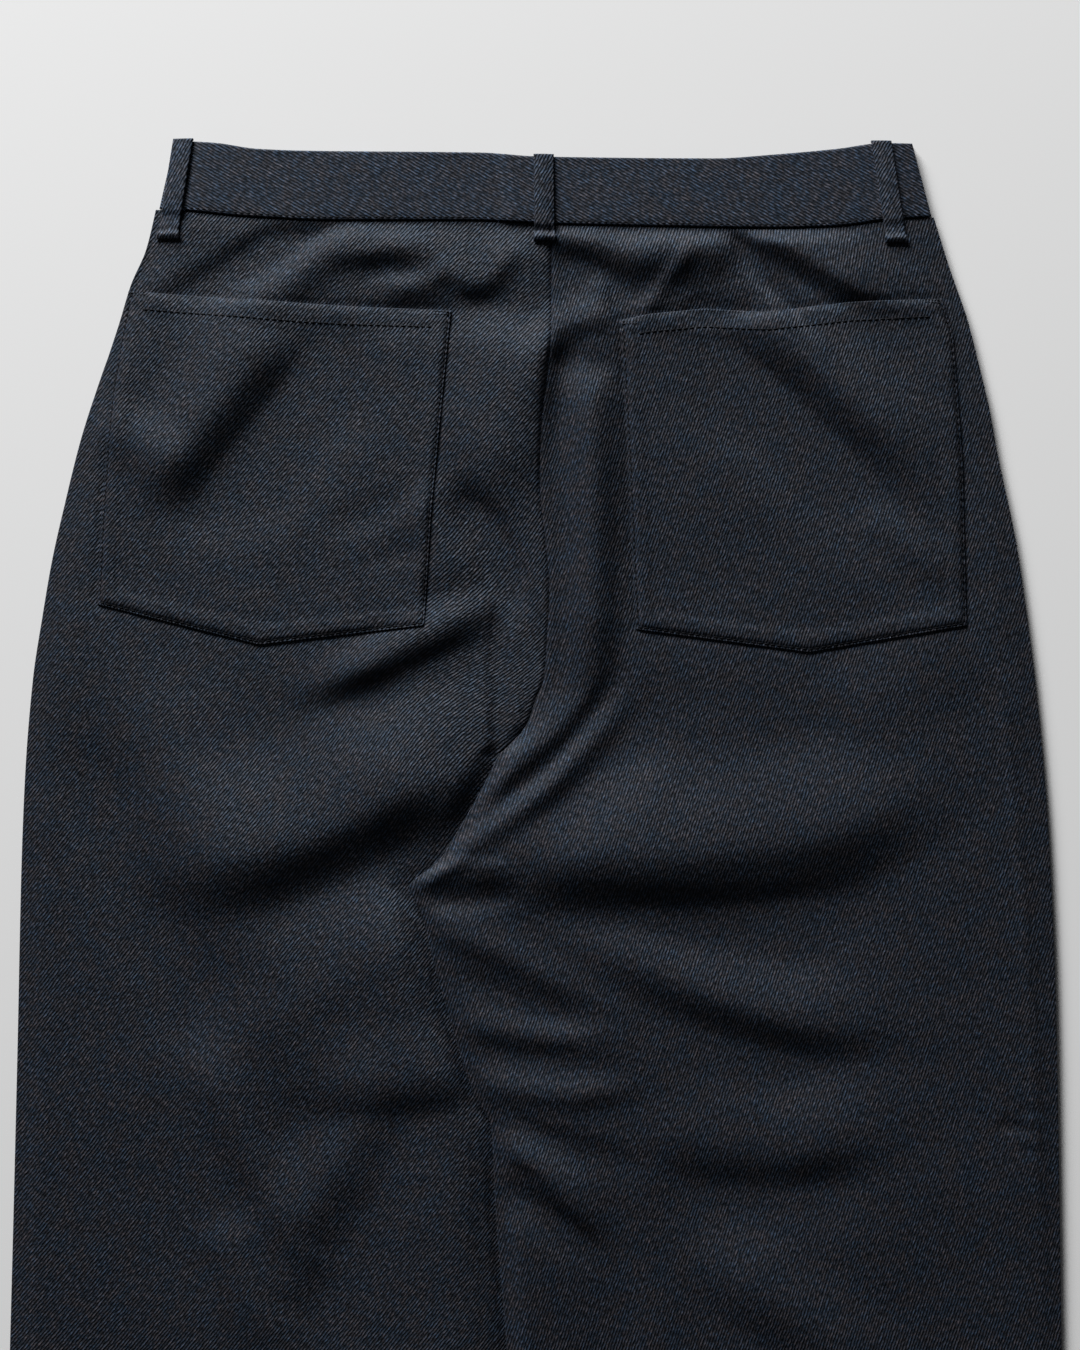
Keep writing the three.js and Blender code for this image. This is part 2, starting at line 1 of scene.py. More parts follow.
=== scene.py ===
import bpy
import functools
import math
import numpy as np
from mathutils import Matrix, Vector


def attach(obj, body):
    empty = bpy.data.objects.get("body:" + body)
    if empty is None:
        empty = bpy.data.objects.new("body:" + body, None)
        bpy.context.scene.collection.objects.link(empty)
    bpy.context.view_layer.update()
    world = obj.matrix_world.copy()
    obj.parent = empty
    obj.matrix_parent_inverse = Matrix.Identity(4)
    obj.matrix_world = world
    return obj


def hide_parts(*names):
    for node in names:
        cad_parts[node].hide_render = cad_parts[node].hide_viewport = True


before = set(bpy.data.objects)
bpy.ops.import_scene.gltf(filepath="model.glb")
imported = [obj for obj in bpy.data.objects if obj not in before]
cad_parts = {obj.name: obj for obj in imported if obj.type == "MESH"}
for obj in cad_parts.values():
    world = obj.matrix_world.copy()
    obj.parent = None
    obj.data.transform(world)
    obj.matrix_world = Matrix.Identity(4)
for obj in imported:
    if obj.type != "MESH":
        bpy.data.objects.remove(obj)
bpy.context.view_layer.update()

# The view. Straight down on the seat of the trousers, in an upright picture of 1080 by 1350
# whose long side takes in 702 mm of the cloth, so the legs run out of its lower edge.
PICTURE_LENGTH = 0.702
PICTURE_MIDDLE = (0.0052, 0.2413)
CAMERA_HEIGHT = 1.5
CLOTH_LEVEL = 0.005
SENSOR = 36.0
NEAR_CLIP = 0.05

camera_data = bpy.data.cameras.new("camera")
camera_data.sensor_width = SENSOR
camera_data.lens = SENSOR * CAMERA_HEIGHT / PICTURE_LENGTH
camera_data.clip_start = NEAR_CLIP
camera = bpy.data.objects.new("camera", camera_data)
camera.location = (*PICTURE_MIDDLE, CAMERA_HEIGHT + CLOTH_LEVEL)
bpy.context.scene.collection.objects.link(camera)
bpy.context.scene.camera = camera


# The floor and the light. A plain pale floor, and one broad soft light that stands low beyond
# the waistband and a little to the left, so every slope that faces it is bright and the slopes
# behind the folds stay dark. Colours come out as they are set, without a film look.
FLOOR_SIZE = 8.0
FLOOR_LOOK = {
    "Base Color": (0.70, 0.70, 0.70, 1.0), "Roughness": 0.9, "Specular IOR Level": 0.2}
LIGHT_TURN = math.radians(24.0)
LIGHT_RISE = math.radians(18.0)
LIGHT_AWAY = 5.0
LIGHT_SIZE = (2.6, 1.5)
LIGHT_POWER = 735.0
SKY_COLOUR = (0.95, 0.97, 1.0, 1.0)
SKY_STRENGTH = 0.06


def new_material(name, look):
    """A material, its node tree and its shader, whose inputs are set as the look says."""
    material = bpy.data.materials.new(name)
    material.use_nodes = True
    shader = material.node_tree.nodes["Principled BSDF"]
    for entry, value in look.items():
        shader.inputs[entry].default_value = value
    return material, material.node_tree, shader


floor_mesh = bpy.data.meshes.new("floor")
reach = FLOOR_SIZE / 2
floor_mesh.from_pydata(
    [(-reach, -reach, 0), (reach, -reach, 0), (reach, reach, 0), (-reach, reach, 0)], [],
    [(0, 1, 2, 3)])
floor = bpy.data.objects.new("floor", floor_mesh)
bpy.context.scene.collection.objects.link(floor)
floor_mesh.materials.append(new_material("pale_floor", FLOOR_LOOK)[0])

lamp_data = bpy.data.lights.new("soft_lamp", "AREA")
lamp_data.shape = "RECTANGLE"
lamp_data.size, lamp_data.size_y = LIGHT_SIZE
lamp_data.energy = LIGHT_POWER
lamp = bpy.data.objects.new("soft_lamp", lamp_data)
towards_lamp = Vector((
    -math.sin(LIGHT_TURN) * math.cos(LIGHT_RISE), math.cos(LIGHT_TURN) * math.cos(LIGHT_RISE),
    math.sin(LIGHT_RISE)))
lamp.location = Vector((*PICTURE_MIDDLE, 0)) + towards_lamp * LIGHT_AWAY
lamp.rotation_euler = towards_lamp.to_track_quat("Z", "Y").to_euler()
bpy.context.scene.collection.objects.link(lamp)

world = bpy.data.worlds.new("studio")
world.use_nodes = True
sky = world.node_tree.nodes["Background"]
sky.inputs["Color"].default_value = SKY_COLOUR
sky.inputs["Strength"].default_value = SKY_STRENGTH
bpy.context.scene.world = world
bpy.context.scene.view_settings.view_transform = "Standard"


# The back panels. Two lengths of heavy twill joined at the centre-back seam; from the crotch
# down the right leg lies over the left one. Sizes are in millimetres: x from the middle of the
# garment, "down" from the tops of the belt loops towards the hems.
MM = 0.001
LENGTH = 1042.0
CLOTH = 1.2
GAP = 0.3
FIRST_ROW = 44.0
CROTCH = 321.0
BACK_LOW = CLOTH + GAP
LEG_STACK = 2 * (CLOTH + GAP)

# Outlines, as rows of down and x
LEFT_OUTER = [
    (36, -193), (63, -200), (80, -208), (98, -214), (126, -224), (157, -234), (189, -242),
    (220, -249), (249, -254), (282, -259), (331, -263), (381, -265), (473, -267), (631, -271),
    (LENGTH, -284)]
RIGHT_OUTER = [
    (40, 209), (68, 218), (96, 228), (119, 234), (140, 239), (162, 243), (210, 253), (243, 258),
    (282, 263), (321, 267), (359, 270), (449, 274), (561, 276), (631, 277), (LENGTH, 284)]
CENTRE_SEAM = [
    (44, 11), (98, 11), (123, 9), (148, 6), (177, 5), (211, 8), (235, 10), (256, 9), (282, 7),
    (292, 3), (304, -1), (314, -8), (CROTCH, -16)]
RIGHT_INSEAM = [
    (329, -20), (344, -28), (363, -39), (377, -48), (390, -63), (397, -60), (409, -55),
    (426, -51), (461, -41), (498, -29), (516, -20), (555, -18), (606, -14), (631, -12),
    (LENGTH, 8)]
LEFT_INSEAM = [
    (330, 0), (342, 16), (360, 36), (377, 57), (390, 68), (407, 65), (426, 60), (461, 49),
    (498, 36), (516, 28), (555, 23), (631, 18), (LENGTH, -5)]
# The waistband's upper edge and seam, as rows of x and down
BAND_TOP = [
    (-185, 1.5), (-163, 3), (-142, 6), (-117, 7), (-25, 8), (2, 10), (96, 11), (127, 9),
    (160, 6), (184, 3), (199, 3)]
BAND_SEAM = [
    (-193, 37), (-179, 38), (-147, 41), (-103, 43), (-33, 43), (16, 45), (64, 46), (127, 47),
    (160, 46), (184, 43), (209, 41)]

# Folds: a path of x and down, its reach on the left and on the right of someone who walks
# along it, its lift over the slack cloth, and its sharpness. A trough has a negative lift.
LEFT_FOLDS = [
    # the waist dart, the strip below the waistband, the hook in it and its small waves
    ([(-202, 90), (-172, 78), (-142, 60), (-106, 40), (-84, 22)], 11, 17, -3.0, 0.2),
    ([(-164, 98), (-128, 78), (-108, 60), (-92, 44), (-80, 26)], 12, 13, 2.2, 0.2),
    ([(-136, 66), (-96, 62), (-50, 61), (0, 63), (34, 60)], 16, 22, 1.9, 0.1),
    ([(-110, 62), (-94, 61), (-78, 57), (-62, 57), (-50, 68)], 14, 8, 2.0, 0.2),
    ([(-92, 72), (-74, 69), (-56, 70)], 7, 7, -1.4, 0.2),
    ([(-80, 79), (-64, 78), (-50, 74), (-42, 60)], 7, 8, 1.5, 0.2),
    ([(-50, 54), (-41, 70), (-30, 76), (-20, 73), (-10, 62), (6, 58)], 15, 8, 2.1, 0.2),
    ([(-100, 93), (-50, 90), (0, 85)], 8, 16, -1.2, 0.1),
    # slack between the pocket and the centre-back seam
    ([(-2, 88), (-8, 120), (-14, 155), (-24, 205)], 24, 34, 4.2, 0.1),
    ([(-44, 176), (-24, 200), (-12, 226), (-11, 262)], 11, 20, -4.2, 0.1),
    ([(-66, 178), (-48, 206), (-40, 244)], 22, 20, 2.2, 0.1),
    ([(-18, 236), (-18.5, 285), (-16, 345)], 9, 4, -2.6, 0.4),
    # under the pocket
    ([(-132, 294), (-92, 277), (-62, 262), (-38, 250), (2, 234)], 13, 12, 3.0, 0.2),
    ([(-132, 308), (-76, 288), (-46, 275), (-8, 256)], 11, 30, -2.4, 0.1),
    # across the pocket
    ([(-206, 206), (-180, 164), (-160, 132), (-144, 108), (-124, 78)], 28, 25, 4.6, 0.1),
    ([(-192, 216), (-152, 172), (-126, 142), (-82, 94)], 24, 38, -4.0, 0.1),
    ([(-232, 146), (-204, 158), (-170, 186)], 18, 20, 2.4, 0.1),
    ([(-110, 206), (-80, 196), (-48, 182)], 12, 10, -0.8, 0.1),
    ([(-92, 224), (-70, 218), (-50, 216)], 8, 8, -0.5, 0.1),
    # the large fold across the thigh
    ([(-236, 412), (-190, 384), (-150, 373), (-120, 365), (-100, 356), (-80, 346), (-60, 338),
      (-36, 329), (-12, 320)], 50, 26, 7.0, 0.2),
    ([(-178, 416), (-140, 408), (-112, 394), (-88, 381), (-60, 368), (-20, 352)], 20, 44,
     -2.6, 0.1),
    ([(-160, 428), (-100, 420), (-60, 416), (-10, 412)], 34, 66, 2.4, 0),
    # the long crease down the leg and its branches
    ([(-244, 270), (-226, 322), (-208, 358), (-193, 394), (-176, 430), (-164, 462), (-150, 506)],
     36, 34, -4.4, 0.1),
    ([(-216, 270), (-196, 320), (-172, 378), (-150, 430), (-134, 476), (-122, 520)], 50, 40,
     5.2, 0),
    ([(-178, 462), (-162, 502), (-144, 538), (-112, 592)], 26, 13, 3.2, 0.3),
    ([(-138, 596), (-104, 540), (-70, 480)], 26, 22, 3.8, 0.1),
    ([(-140, 493), (-100, 489), (-60, 487), (-20, 483), (30, 478)], 26, 17, 2.6, 0.1),
    ([(-120, 512), (-80, 512), (-10, 508)], 12, 26, -1.6, 0.1),
    ([(-166, 556), (-150, 596), (-126, 650)], 24, 15, 2.4, 0.2),
    ([(-132, 606), (-108, 574)], 18, 16, 1.6, 0.1),
    ([(-92, 340), (-80, 396), (-67, 440), (-55, 474), (-43, 504), (-35, 540), (-35, 600)], 16,
     46, 4.6, 0.1),
    ([(-44, 520), (-38, 580), (-38, 660), (-42, 740)], 22, 40, 3.2, 0.1),
    # the pressed edge of the side seam, and soft lengths towards the hem
    ([(-244, 250), (-252, 400), (-254, 500), (-258, 640), (-268, 960)], 4, 5, 0.5, 0.2),
    ([(-90, 600), (-112, 760), (-96, 960)], 34, 34, 1.8, 0),
    ([(-214, 580), (-206, 800), (-214, 1010)], 30, 30, -1.6, 0),
    ([(-60, 690), (-40, 900)], 26, 26, -1.4, 0),
    ([(-150, 660), (-170, 820), (-160, 980)], 22, 26, 1.4, 0.1),
]
RIGHT_FOLDS = [
    # below the waistband and round its dart
    ([(-4, 42), (24, 51), (46, 60), (80, 72)], 12, 10, 2.6, 0.2),
    ([(2, 60), (34, 71), (66, 90)], 9, 18, -2.2, 0.2),
    ([(40, 60), (68, 59), (90, 59), (114, 60)], 14, 16, 3.4, 0.2),
    ([(54, 98), (70, 76), (90, 50)], 6, 7, 1.6, 0.3),
    ([(74, 92), (100, 92), (128, 90)], 12, 8, -2.0, 0.1),
    ([(84, 20), (104, 37), (124, 51), (148, 66), (172, 79), (214, 90)], 26, 10, 5.2, 0.3),
    ([(97, 16), (103, 40), (111, 60), (123, 76), (140, 94), (152, 110)], 9, 5, -2.6, 0.3),
    # the tuck beside the centre-back seam and the long ridge under it
    ([(1, 190), (2, 150), (4, 118), (12, 103), (22, 97), (34, 98), (54, 118)], 13, 9, 2.6, 0.2),
    ([(10, 122), (26, 116), (44, 126)], 9, 16, -1.8, 0.1),
    ([(36, 66), (37, 104)], 8, 10, 1.6, 0.2),
    ([(31, 92), (32, 130), (33, 180), (33, 230), (33, 262), (28, 300)], 14, 15, 5.4, 0.1),
    # across the pocket
    ([(94, 78), (126, 102), (152, 125), (182, 154), (226, 208)], 30, 20, 4.2, 0.1),
    ([(66, 92), (118, 128), (145, 151), (168, 174), (206, 214)], 22, 40, -3.8, 0.1),
    ([(166, 188), (196, 212), (228, 238)], 14, 12, 1.0, 0),
    ([(150, 306), (190, 284), (240, 250)], 26, 30, 1.6, 0),
    # two rolls that run down to the crotch
    ([(-50, 362), (-26, 342), (-10, 329), (4, 318), (18, 304), (31, 284), (38, 250)], 16, 9,
     1.9, 0.2),
    ([(-50, 370), (-24, 351), (0, 333), (20, 314), (40, 288), (48, 268)], 8, 8, -1.3, 0.1),
    ([(-74, 398), (-40, 376), (-10, 354), (8, 339), (24, 322), (52, 286)], 8, 8, 1.5, 0.2),
    ([(-24, 376), (14, 351), (32, 334), (50, 314), (78, 270)], 11, 26, -2.4, 0.1),
    # the broad fold across the thigh
    ([(-60, 376), (-20, 373), (20, 374), (60, 374), (100, 371), (140, 366), (170, 356),
      (200, 340), (240, 310)], 48, 27, 6.4, 0.2),
    ([(-30, 396), (20, 405), (60, 407), (110, 408), (150, 404), (220, 386)], 18, 40, -3.0, 0.1),
    ([(-70, 384), (-40, 379), (0, 381)], 6, 10, 1.6, 0.2),
    ([(-66, 396), (-34, 397), (0, 393)], 9, 8, -1.8, 0.1),
    # small folds that spread from the inner leg
    ([(-74, 400), (-34, 417), (-8, 428), (16, 440), (62, 456)], 15, 9, 2.2, 0.2),
    ([(-60, 426), (-18, 444), (6, 453), (48, 470)], 8, 11, -1.3, 0.1),
    ([(-52, 456), (-18, 464), (14, 468), (56, 464)], 10, 8, 1.4, 0.2),
    ([(-42, 474), (4, 480), (60, 486)], 8, 12, -1.0, 0.1),
    ([(-42, 488), (-4, 496), (26, 498), (66, 492)], 10, 9, 1.5, 0.2),
    ([(-28, 506), (16, 523), (64, 538)], 9, 14, -1.5, 0.1),
    ([(-36, 506), (-6, 528), (13, 544), (27, 560), (48, 590)], 14, 8, 3.0, 0.2),
    ([(-30, 540), (4, 556), (38, 586)], 8, 16, -2.2, 0.1),
    ([(-5, 530), (-4, 600), (0, 680), (8, 860)], 22, 8, 2.0, 0.2),
    ([(28, 540), (42, 610), (48, 700)], 20, 22, -2.4, 0.1),
    # folds over the leg
    ([(-20, 404), (20, 418), (50, 428), (80, 441), (110, 451), (140, 459), (170, 462),
      (214, 454)], 26, 17, 3.0, 0.1),
    ([(-4, 422), (50, 445), (90, 464), (120, 476), (160, 483), (226, 474)], 16, 28, -1.7, 0.1),
    ([(50, 512), (90, 522), (140, 525), (206, 514)], 30, 18, 2.4, 0.1),
    ([(60, 544), (120, 551), (190, 540)], 15, 28, -1.8, 0.1),
    ([(80, 574), (120, 602), (146, 620), (196, 664)], 28, 20, 3.4, 0.1),
    # the pressed edge of the side seam, its puckers, and soft lengths towards the hem
    ([(238, 210), (246, 288), (251, 340), (255, 376), (260, 449), (263, 516), (268, 631),
      (276, 960)], 3.5, 3.5, 1.0, 0.4),
    ([(250, 506), (275, 508)], 3, 3, -0.5, 0.2),
    ([(250, 516), (275, 518)], 3, 3, -0.5, 0.2),
    ([(252, 527), (275, 529)], 3, 3, -0.5, 0.2),
    ([(242, 514), (258, 515)], 5, 5, -0.9, 0.1),
    ([(100, 600), (120, 780), (104, 980)], 36, 36, 1.8, 0),
    ([(206, 600), (214, 760), (206, 990)], 30, 30, -1.6, 0),
    ([(46, 680), (58, 900)], 26, 26, -1.4, 0),
    ([(160, 680), (172, 840), (158, 1000)], 24, 26, 1.4, 0.1),
]
# Slack of a back panel over its front panel: in the open, at least, at the waist, at the hem
SLACK_OPEN = 2.4
SLACK_LEAST = 0.15
SLACK_WAIST = 2.1
SLACK_HEM = 0.5
# How far the centre-back seam draws the cloth in, and from each edge how far the slack grows
SEAM_DRAWS_IN = 0.8
SEAM_REACH = 2.4
REACH_WAIST = 9.0
REACH_HEM = 60.0
REACH_OUTER = 20.0
REACH_INNER = 12.0
# The left leg pressed down beside the edge of the right leg: over what reach, at first and
# farther down, how much of it close to the edge, by what margin, and from where
REACH_UNDER_LEG = (13.0, 17.0)
REACH_AT_EDGE = 4.0
SHARE_AT_EDGE = 0.6
PRESSED = (1.5, 1.2)
PRESS_FIRST = 306.0
PRESS_START = 396.0
PRESS_GROWS = 40.0
# The ramp on which the right leg climbs over the left one, and where the two legs part
RAMP_WIDTH = 14.0
RAMP_LEAST = 22.0
RAMP_CLEAR = 1.5
RAMP_START = 282.0
LEGS_PART = -8.0
LEGS_PART_OVER = 6.0


def curve_through(rows):
    """A smooth curve through a table's rows, without overshoot."""
    at, to = np.array(rows, float).T
    grade = np.diff(to) / np.diff(at)
    slope = np.empty(len(at))
    slope[0], slope[-1] = grade[0], grade[-1]
    product = grade[:-1] * grade[1:]
    total = np.where(product > 0, grade[:-1] + grade[1:], 1.0)
    slope[1:-1] = np.where(product > 0, 2 * product / total, 0.0)

    def curve(place):
        place = np.clip(place, at[0], at[-1])
        i = np.clip(np.searchsorted(at, place, side="right") - 1, 0, len(at) - 2)
        span = at[i + 1] - at[i]
        t = (place - at[i]) / span
        bend = (1 - t) * slope[i] - t * slope[i + 1]
        lean = grade[i] * (2 * t - 1)
        return to[i] + (to[i + 1] - to[i]) * t + t * (1 - t) * span * (bend + lean)

    return curve


def smooth(t):
    """A step from 0 to 1 that starts and ends level."""
    t = np.clip(t, 0.0, 1.0)
    return t * t * (3 - 2 * t)


def mix(a, b, t):
    return a + (b - a) * t


def roll(distance, reach):
    """Rise of a rolled edge: steep at the edge, level at its reach."""
    return np.sin(np.pi / 2 * np.clip(distance / reach, 0.0, 1.0))


def dent(distance, depth, width):
    """Depth of a soft groove at a distance from its middle."""
    return depth * np.exp(-(distance / width) ** 2)


def soft_floor(height, floor):
    """The height, eased over its last millimetre so that it stays above a floor."""
    over = height - floor
    return np.where(over > 1, height, floor + np.exp(np.minimum(over - 1, 0)))


KNOTS = 160
FIRST_KNOT = (60.0, 3.0)


def ripple(x, down, size, seed):
    """Soft uneven waves between -1 and 1, about as long as the given size."""
    knots = np.random.default_rng(seed).uniform(-1, 1, (KNOTS, KNOTS))
    u = np.asarray(x / size + FIRST_KNOT[0])
    v = np.asarray(down / size + FIRST_KNOT[1])
    i, j = [np.floor(place).astype(int) % (KNOTS - 1) for place in (u, v)]
    s, t = smooth(u - np.floor(u)), smooth(v - np.floor(v))
    above = mix(knots[j, i], knots[j, i + 1], s)
    below = mix(knots[j + 1, i], knots[j + 1, i + 1], s)
    return mix(above, below, t)


def unevenness(waves, x, down):
    """Height of waves given as rows of size, height and seed."""
    return sum(height * ripple(x, down, size, seed) for size, height, seed in waves)


TINY = 1e-6


def path_distance(path, x, down):
    """Distance to a path, how far along it the nearest place is, and the side: 1 is right."""
    shape = np.broadcast(x, down).shape
    nearest, along, side = np.full(shape, np.inf), np.zeros(shape), np.zeros(shape)
    for i, ((ax, ad), (bx, bd)) in enumerate(zip(path, path[1:])):
        dx, dd = bx - ax, bd - ad
        t = np.clip(((x - ax) * dx + (down - ad) * dd) / (dx * dx + dd * dd), 0, 1)
        off_x, off_d = x - ax - t * dx, down - ad - t * dd
        distance = np.hypot(off_x, off_d)
        closer = distance < nearest
        nearest = np.where(closer, distance, nearest)
        along = np.where(closer, (i + t) / (len(path) - 1), along)
        across = (dx * off_d - dd * off_x) / np.hypot(dx, dd) / np.maximum(distance, TINY)
        side = np.where(closer, across, side)
    return nearest, along, side


CORNER_PLACES = (0, 1 / 3, 2 / 3)


def round_corners(path):
    """A path's rows with more places between them, along a soft curve through them."""
    rows = np.array(path, float)
    rows = np.vstack([2 * rows[0] - rows[1], rows, 2 * rows[-1] - rows[-2]])
    line = []
    for before, start, end, after in zip(rows, rows[1:], rows[2:], rows[3:]):
        bend = 2 * before - 5 * start + 4 * end - after
        twist = 3 * (start - end) + after - before
        for t in CORNER_PLACES:
            line.append(start + 0.5 * ((end - before) * t + bend * t ** 2 + twist * t ** 3))
    line.append(rows[-2])
    return np.array(line)


END_FADE = 0.3
FOOT = 1.25
RIDGE_EASE = 0.01


def near_line(line, far, x, down):
    """Which places lie in the box around a line, widened on every side."""
    low, high = line.min(axis=0) - far, line.max(axis=0) + far
    return (x > low[0]) & (x < high[0]) & (down > low[1]) & (down < high[1])


def fold_height(folds, x, down):
    """Height that a list of folds adds, fading to nothing at the tips of each fold."""
    x, down = np.broadcast_arrays(np.asarray(x, float), np.asarray(down, float))
    height = np.zeros(x.shape)
    for line, left, right, lift, sharp in folds:
        near = near_line(line, FOOT * max(left, right), x, down)
        if not near.any():
            continue
        nearest, along, side = path_distance(line, x[near], down[near])
        share = nearest / (FOOT * mix(left, right, 0.5 + 0.5 * side))
        rounded = 1 - smooth(share)
        ridge = 1 - np.sqrt(share ** 2 + RIDGE_EASE) + math.sqrt(RIDGE_EASE)
        pointed = np.clip(ridge, 0, 1) ** 2
        tips = smooth(np.minimum(along, 1 - along) / END_FADE)
        height[near] += lift * tips * mix(rounded, pointed, sharp)
    return height


left_outer, right_outer = curve_through(LEFT_OUTER), curve_through(RIGHT_OUTER)
left_inner = curve_through(CENTRE_SEAM + LEFT_INSEAM)
right_inner = curve_through(CENTRE_SEAM + RIGHT_INSEAM)
band_top, band_seam = curve_through(BAND_TOP), curve_through(BAND_SEAM)
left_folds = [(round_corners(path), *sizes) for path, *sizes in LEFT_FOLDS]
right_folds = [(round_corners(path), *sizes) for path, *sizes in RIGHT_FOLDS]
SIDES = {
    "left": (left_outer, left_inner, left_folds, right_folds),
    "right": (right_outer, right_inner, right_folds, left_folds),
}
SEAM_LETS_GO = 280.0
FACET_EASE = 0.1
# Waves all over the cloth, as rows of size, height and seed
UNEVEN = [(56.0, 0.6, 3), (21.0, 0.22, 4), (9.0, 0.06, 5)]


def waist_seam(x):
    return band_seam(x) + GAP + FACET_EASE


# The edges of the pockets sewn on, as rows of x and down: mouth and foot from left to right,
# sides from the mouth down
POCKETS = {
    "left": {
        "mouth": [(-209, 80), (-138, 85), (-91, 88), (-41, 90)],
        "foot": [(-225, 243), (-141, 264), (-55, 254)],
        "left": [(-209, 80), (-218, 133), (-223, 197), (-225, 243)],
        "right": [(-41, 90), (-46, 141), (-51, 193), (-55, 254)],
    },
    "right": {
        "mouth": [(47, 95), (62, 92), (90, 89), (122, 91), (165, 86), (214, 84)],
        "foot": [(55, 256), (145, 268), (227, 254)],
        "left": [(47, 95), (51, 168), (55, 256)],
        "right": [(214, 84), (220, 102), (225, 168), (227, 254)],
    },
}
POCKET_DRAWS_IN = {"mouth": 0.7, "foot": 0.2, "left": 0.9, "right": 0.35}
DRAWN_WIDTH = 1.9
DRAWN_FAR = 3 * DRAWN_WIDTH


def pocket_seat(side, x, down):
    """How far a pocket's edges sink into the panel that they are sewn to."""
    x, down = np.broadcast_arrays(np.asarray(x, float), np.asarray(down, float))
    depth = np.zeros(x.shape)
    for edge, path in POCKETS[side].items():
        line = np.array(path, float)
        near = near_line(line, DRAWN_FAR, x, down)
        if near.any():
            nearest = path_distance(line, x[near], down[near])[0]
            sunk = dent(nearest, POCKET_DRAWS_IN[edge], DRAWN_WIDTH)
            depth[near] = np.maximum(depth[near], sunk)
    return depth


def slack(side, x, down):
    """Height of a back panel over its front panel, beyond the gap between them."""
    outer, inner, folds, folds_beyond_seam = SIDES[side]
    apart = smooth((down - SEAM_LETS_GO) / (CROTCH - SEAM_LETS_GO))
    free = SLACK_OPEN + fold_height(folds, x, down)
    free = free + (1 - apart) * fold_height(folds_beyond_seam, x, down)
    free = free + unevenness(UNEVEN, x, down) - pocket_seat(side, x, down)
    free = soft_floor(free, SLACK_LEAST)
    free = mix(SLACK_WAIST, free, smooth((down - waist_seam(x)) / REACH_WAIST))
    free = mix(SLACK_HEM, free, smooth((LENGTH - down) / REACH_HEM))
    free = free * roll(np.abs(x - outer(down)), REACH_OUTER)
    past_edge = np.abs(x - inner(down))
    drawn_in = SEAM_DRAWS_IN * (1 - roll(past_edge, SEAM_REACH))
    free = mix(free - drawn_in, free * roll(past_edge, REACH_INNER), apart)
    if side == "right":
        return free
    below = smooth((down - PRESS_START) / PRESS_GROWS)
    clear = np.maximum(right_inner(down) - mix(*PRESSED, below) - x, 0)
    pressed = mix(
        roll(clear, mix(*REACH_UNDER_LEG, below)), roll(clear, REACH_AT_EDGE),
        SHARE_AT_EDGE * below)
    return free * mix(1.0, pressed, smooth((down - PRESS_FIRST) / (CROTCH - PRESS_FIRST)))


def ride(side, x, down):
    """How high the right leg lies: full over the left leg, nothing beside it."""
    if side == "left":
        return np.zeros(np.broadcast(x, down).shape)
    overlap = left_inner(down) - right_inner(down)
    covered = np.where(down < CROTCH, 0.0, overlap + RAMP_CLEAR)
    foot = right_inner(down) + np.maximum(covered, RAMP_LEAST)
    share = np.clip(1 - (x - foot) / RAMP_WIDTH, 0, 1)
    above = smooth((down - RAMP_START) / (CROTCH - RAMP_START))
    together = smooth((overlap - LEGS_PART) / LEGS_PART_OVER)
    return LEG_STACK * share * above * np.where(down < CROTCH, 1.0, together)


# The back of the right leg bridges the step of the left leg in a long slope, which is halfway
# up at these places, as rows of down and x
BRIDGE = [(282, 20), (340, 60), (390, 96), (450, 92), (520, 66), (640, 50), (LENGTH, 36)]
BRIDGE_WIDTH = 110.0
bridge_middle = curve_through(BRIDGE)


def back_face(side, x, down):
    """Upper face of a back panel."""
    lying = slack(side, x, down)
    if side == "right":
        top = ride(side, right_inner(down), down)
        bridge = top * smooth(0.5 - (x - bridge_middle(down)) / BRIDGE_WIDTH)
        lying = soft_floor(bridge + lying, ride(side, x, down) + SLACK_LEAST)
    return BACK_LOW + CLOTH + lying


EDGE_STEPS = np.array([0, 0.12, 0.4, 0.8, 1.3, 2.0, 3.0])
EDGE_TURN = 0.9


def stations(length, spacing):
    """Places along a length, close together at both ends where the edges turn over."""
    inside = max(2, round((length - 2 * EDGE_STEPS[-1]) / spacing))
    middle = np.linspace(EDGE_STEPS[-1], length - EDGE_STEPS[-1], inside + 1)
    return np.concatenate([EDGE_STEPS[:-1], middle, length - EDGE_STEPS[-2::-1]])


def inwards(columns, rows):
    """Distance of each place of a grid from the nearest of its four edges."""
    sideways, endways = [np.minimum(line - line[0], line[-1] - line) for line in (columns, rows)]
    return np.minimum(sideways[None, :], endways[:, None])


def turned_edge(distance, thick):
    """How far each face of a cloth edge turns towards the middle of its thickness."""
    radius = thick / 2
    inset = np.clip(radius - distance, 0, radius)
    return EDGE_TURN * (radius - np.sqrt(np.maximum(radius ** 2 - inset ** 2, 0)))


# How the weave lies in each panel: the turn of its grain in degrees, and places where the
# cloth is pulled round, as rows of x, down, reach and turn
GRAIN_TURNS = {
    "left": [(-30, 275, 60, -16), (-20, 90, 70, -4), (-150, 500, 190, 4)],
    "right": [(30, 120, 70, 4), (150, 60, 60, 9)],
}


def cut_place(x, down, grain, turns):
    """Place of a point on the cut cloth in metres, with the grain along the second number."""
    across, along = np.array(x, float), -np.array(down, float)
    for cx, cd, reach, turn in turns:
        off_x, off_y = across - cx, along + cd
        angle = np.radians(-turn) * np.exp(-(off_x ** 2 + off_y ** 2) / reach ** 2)
        across = cx + off_x * np.cos(angle) - off_y * np.sin(angle)
        along = -cd + off_x * np.sin(angle) + off_y * np.cos(angle)
    angle = math.radians(-grain)
    u = across * math.cos(angle) - along * math.sin(angle)
    v = across * math.sin(angle) + along * math.cos(angle)
    return u * MM, v * MM


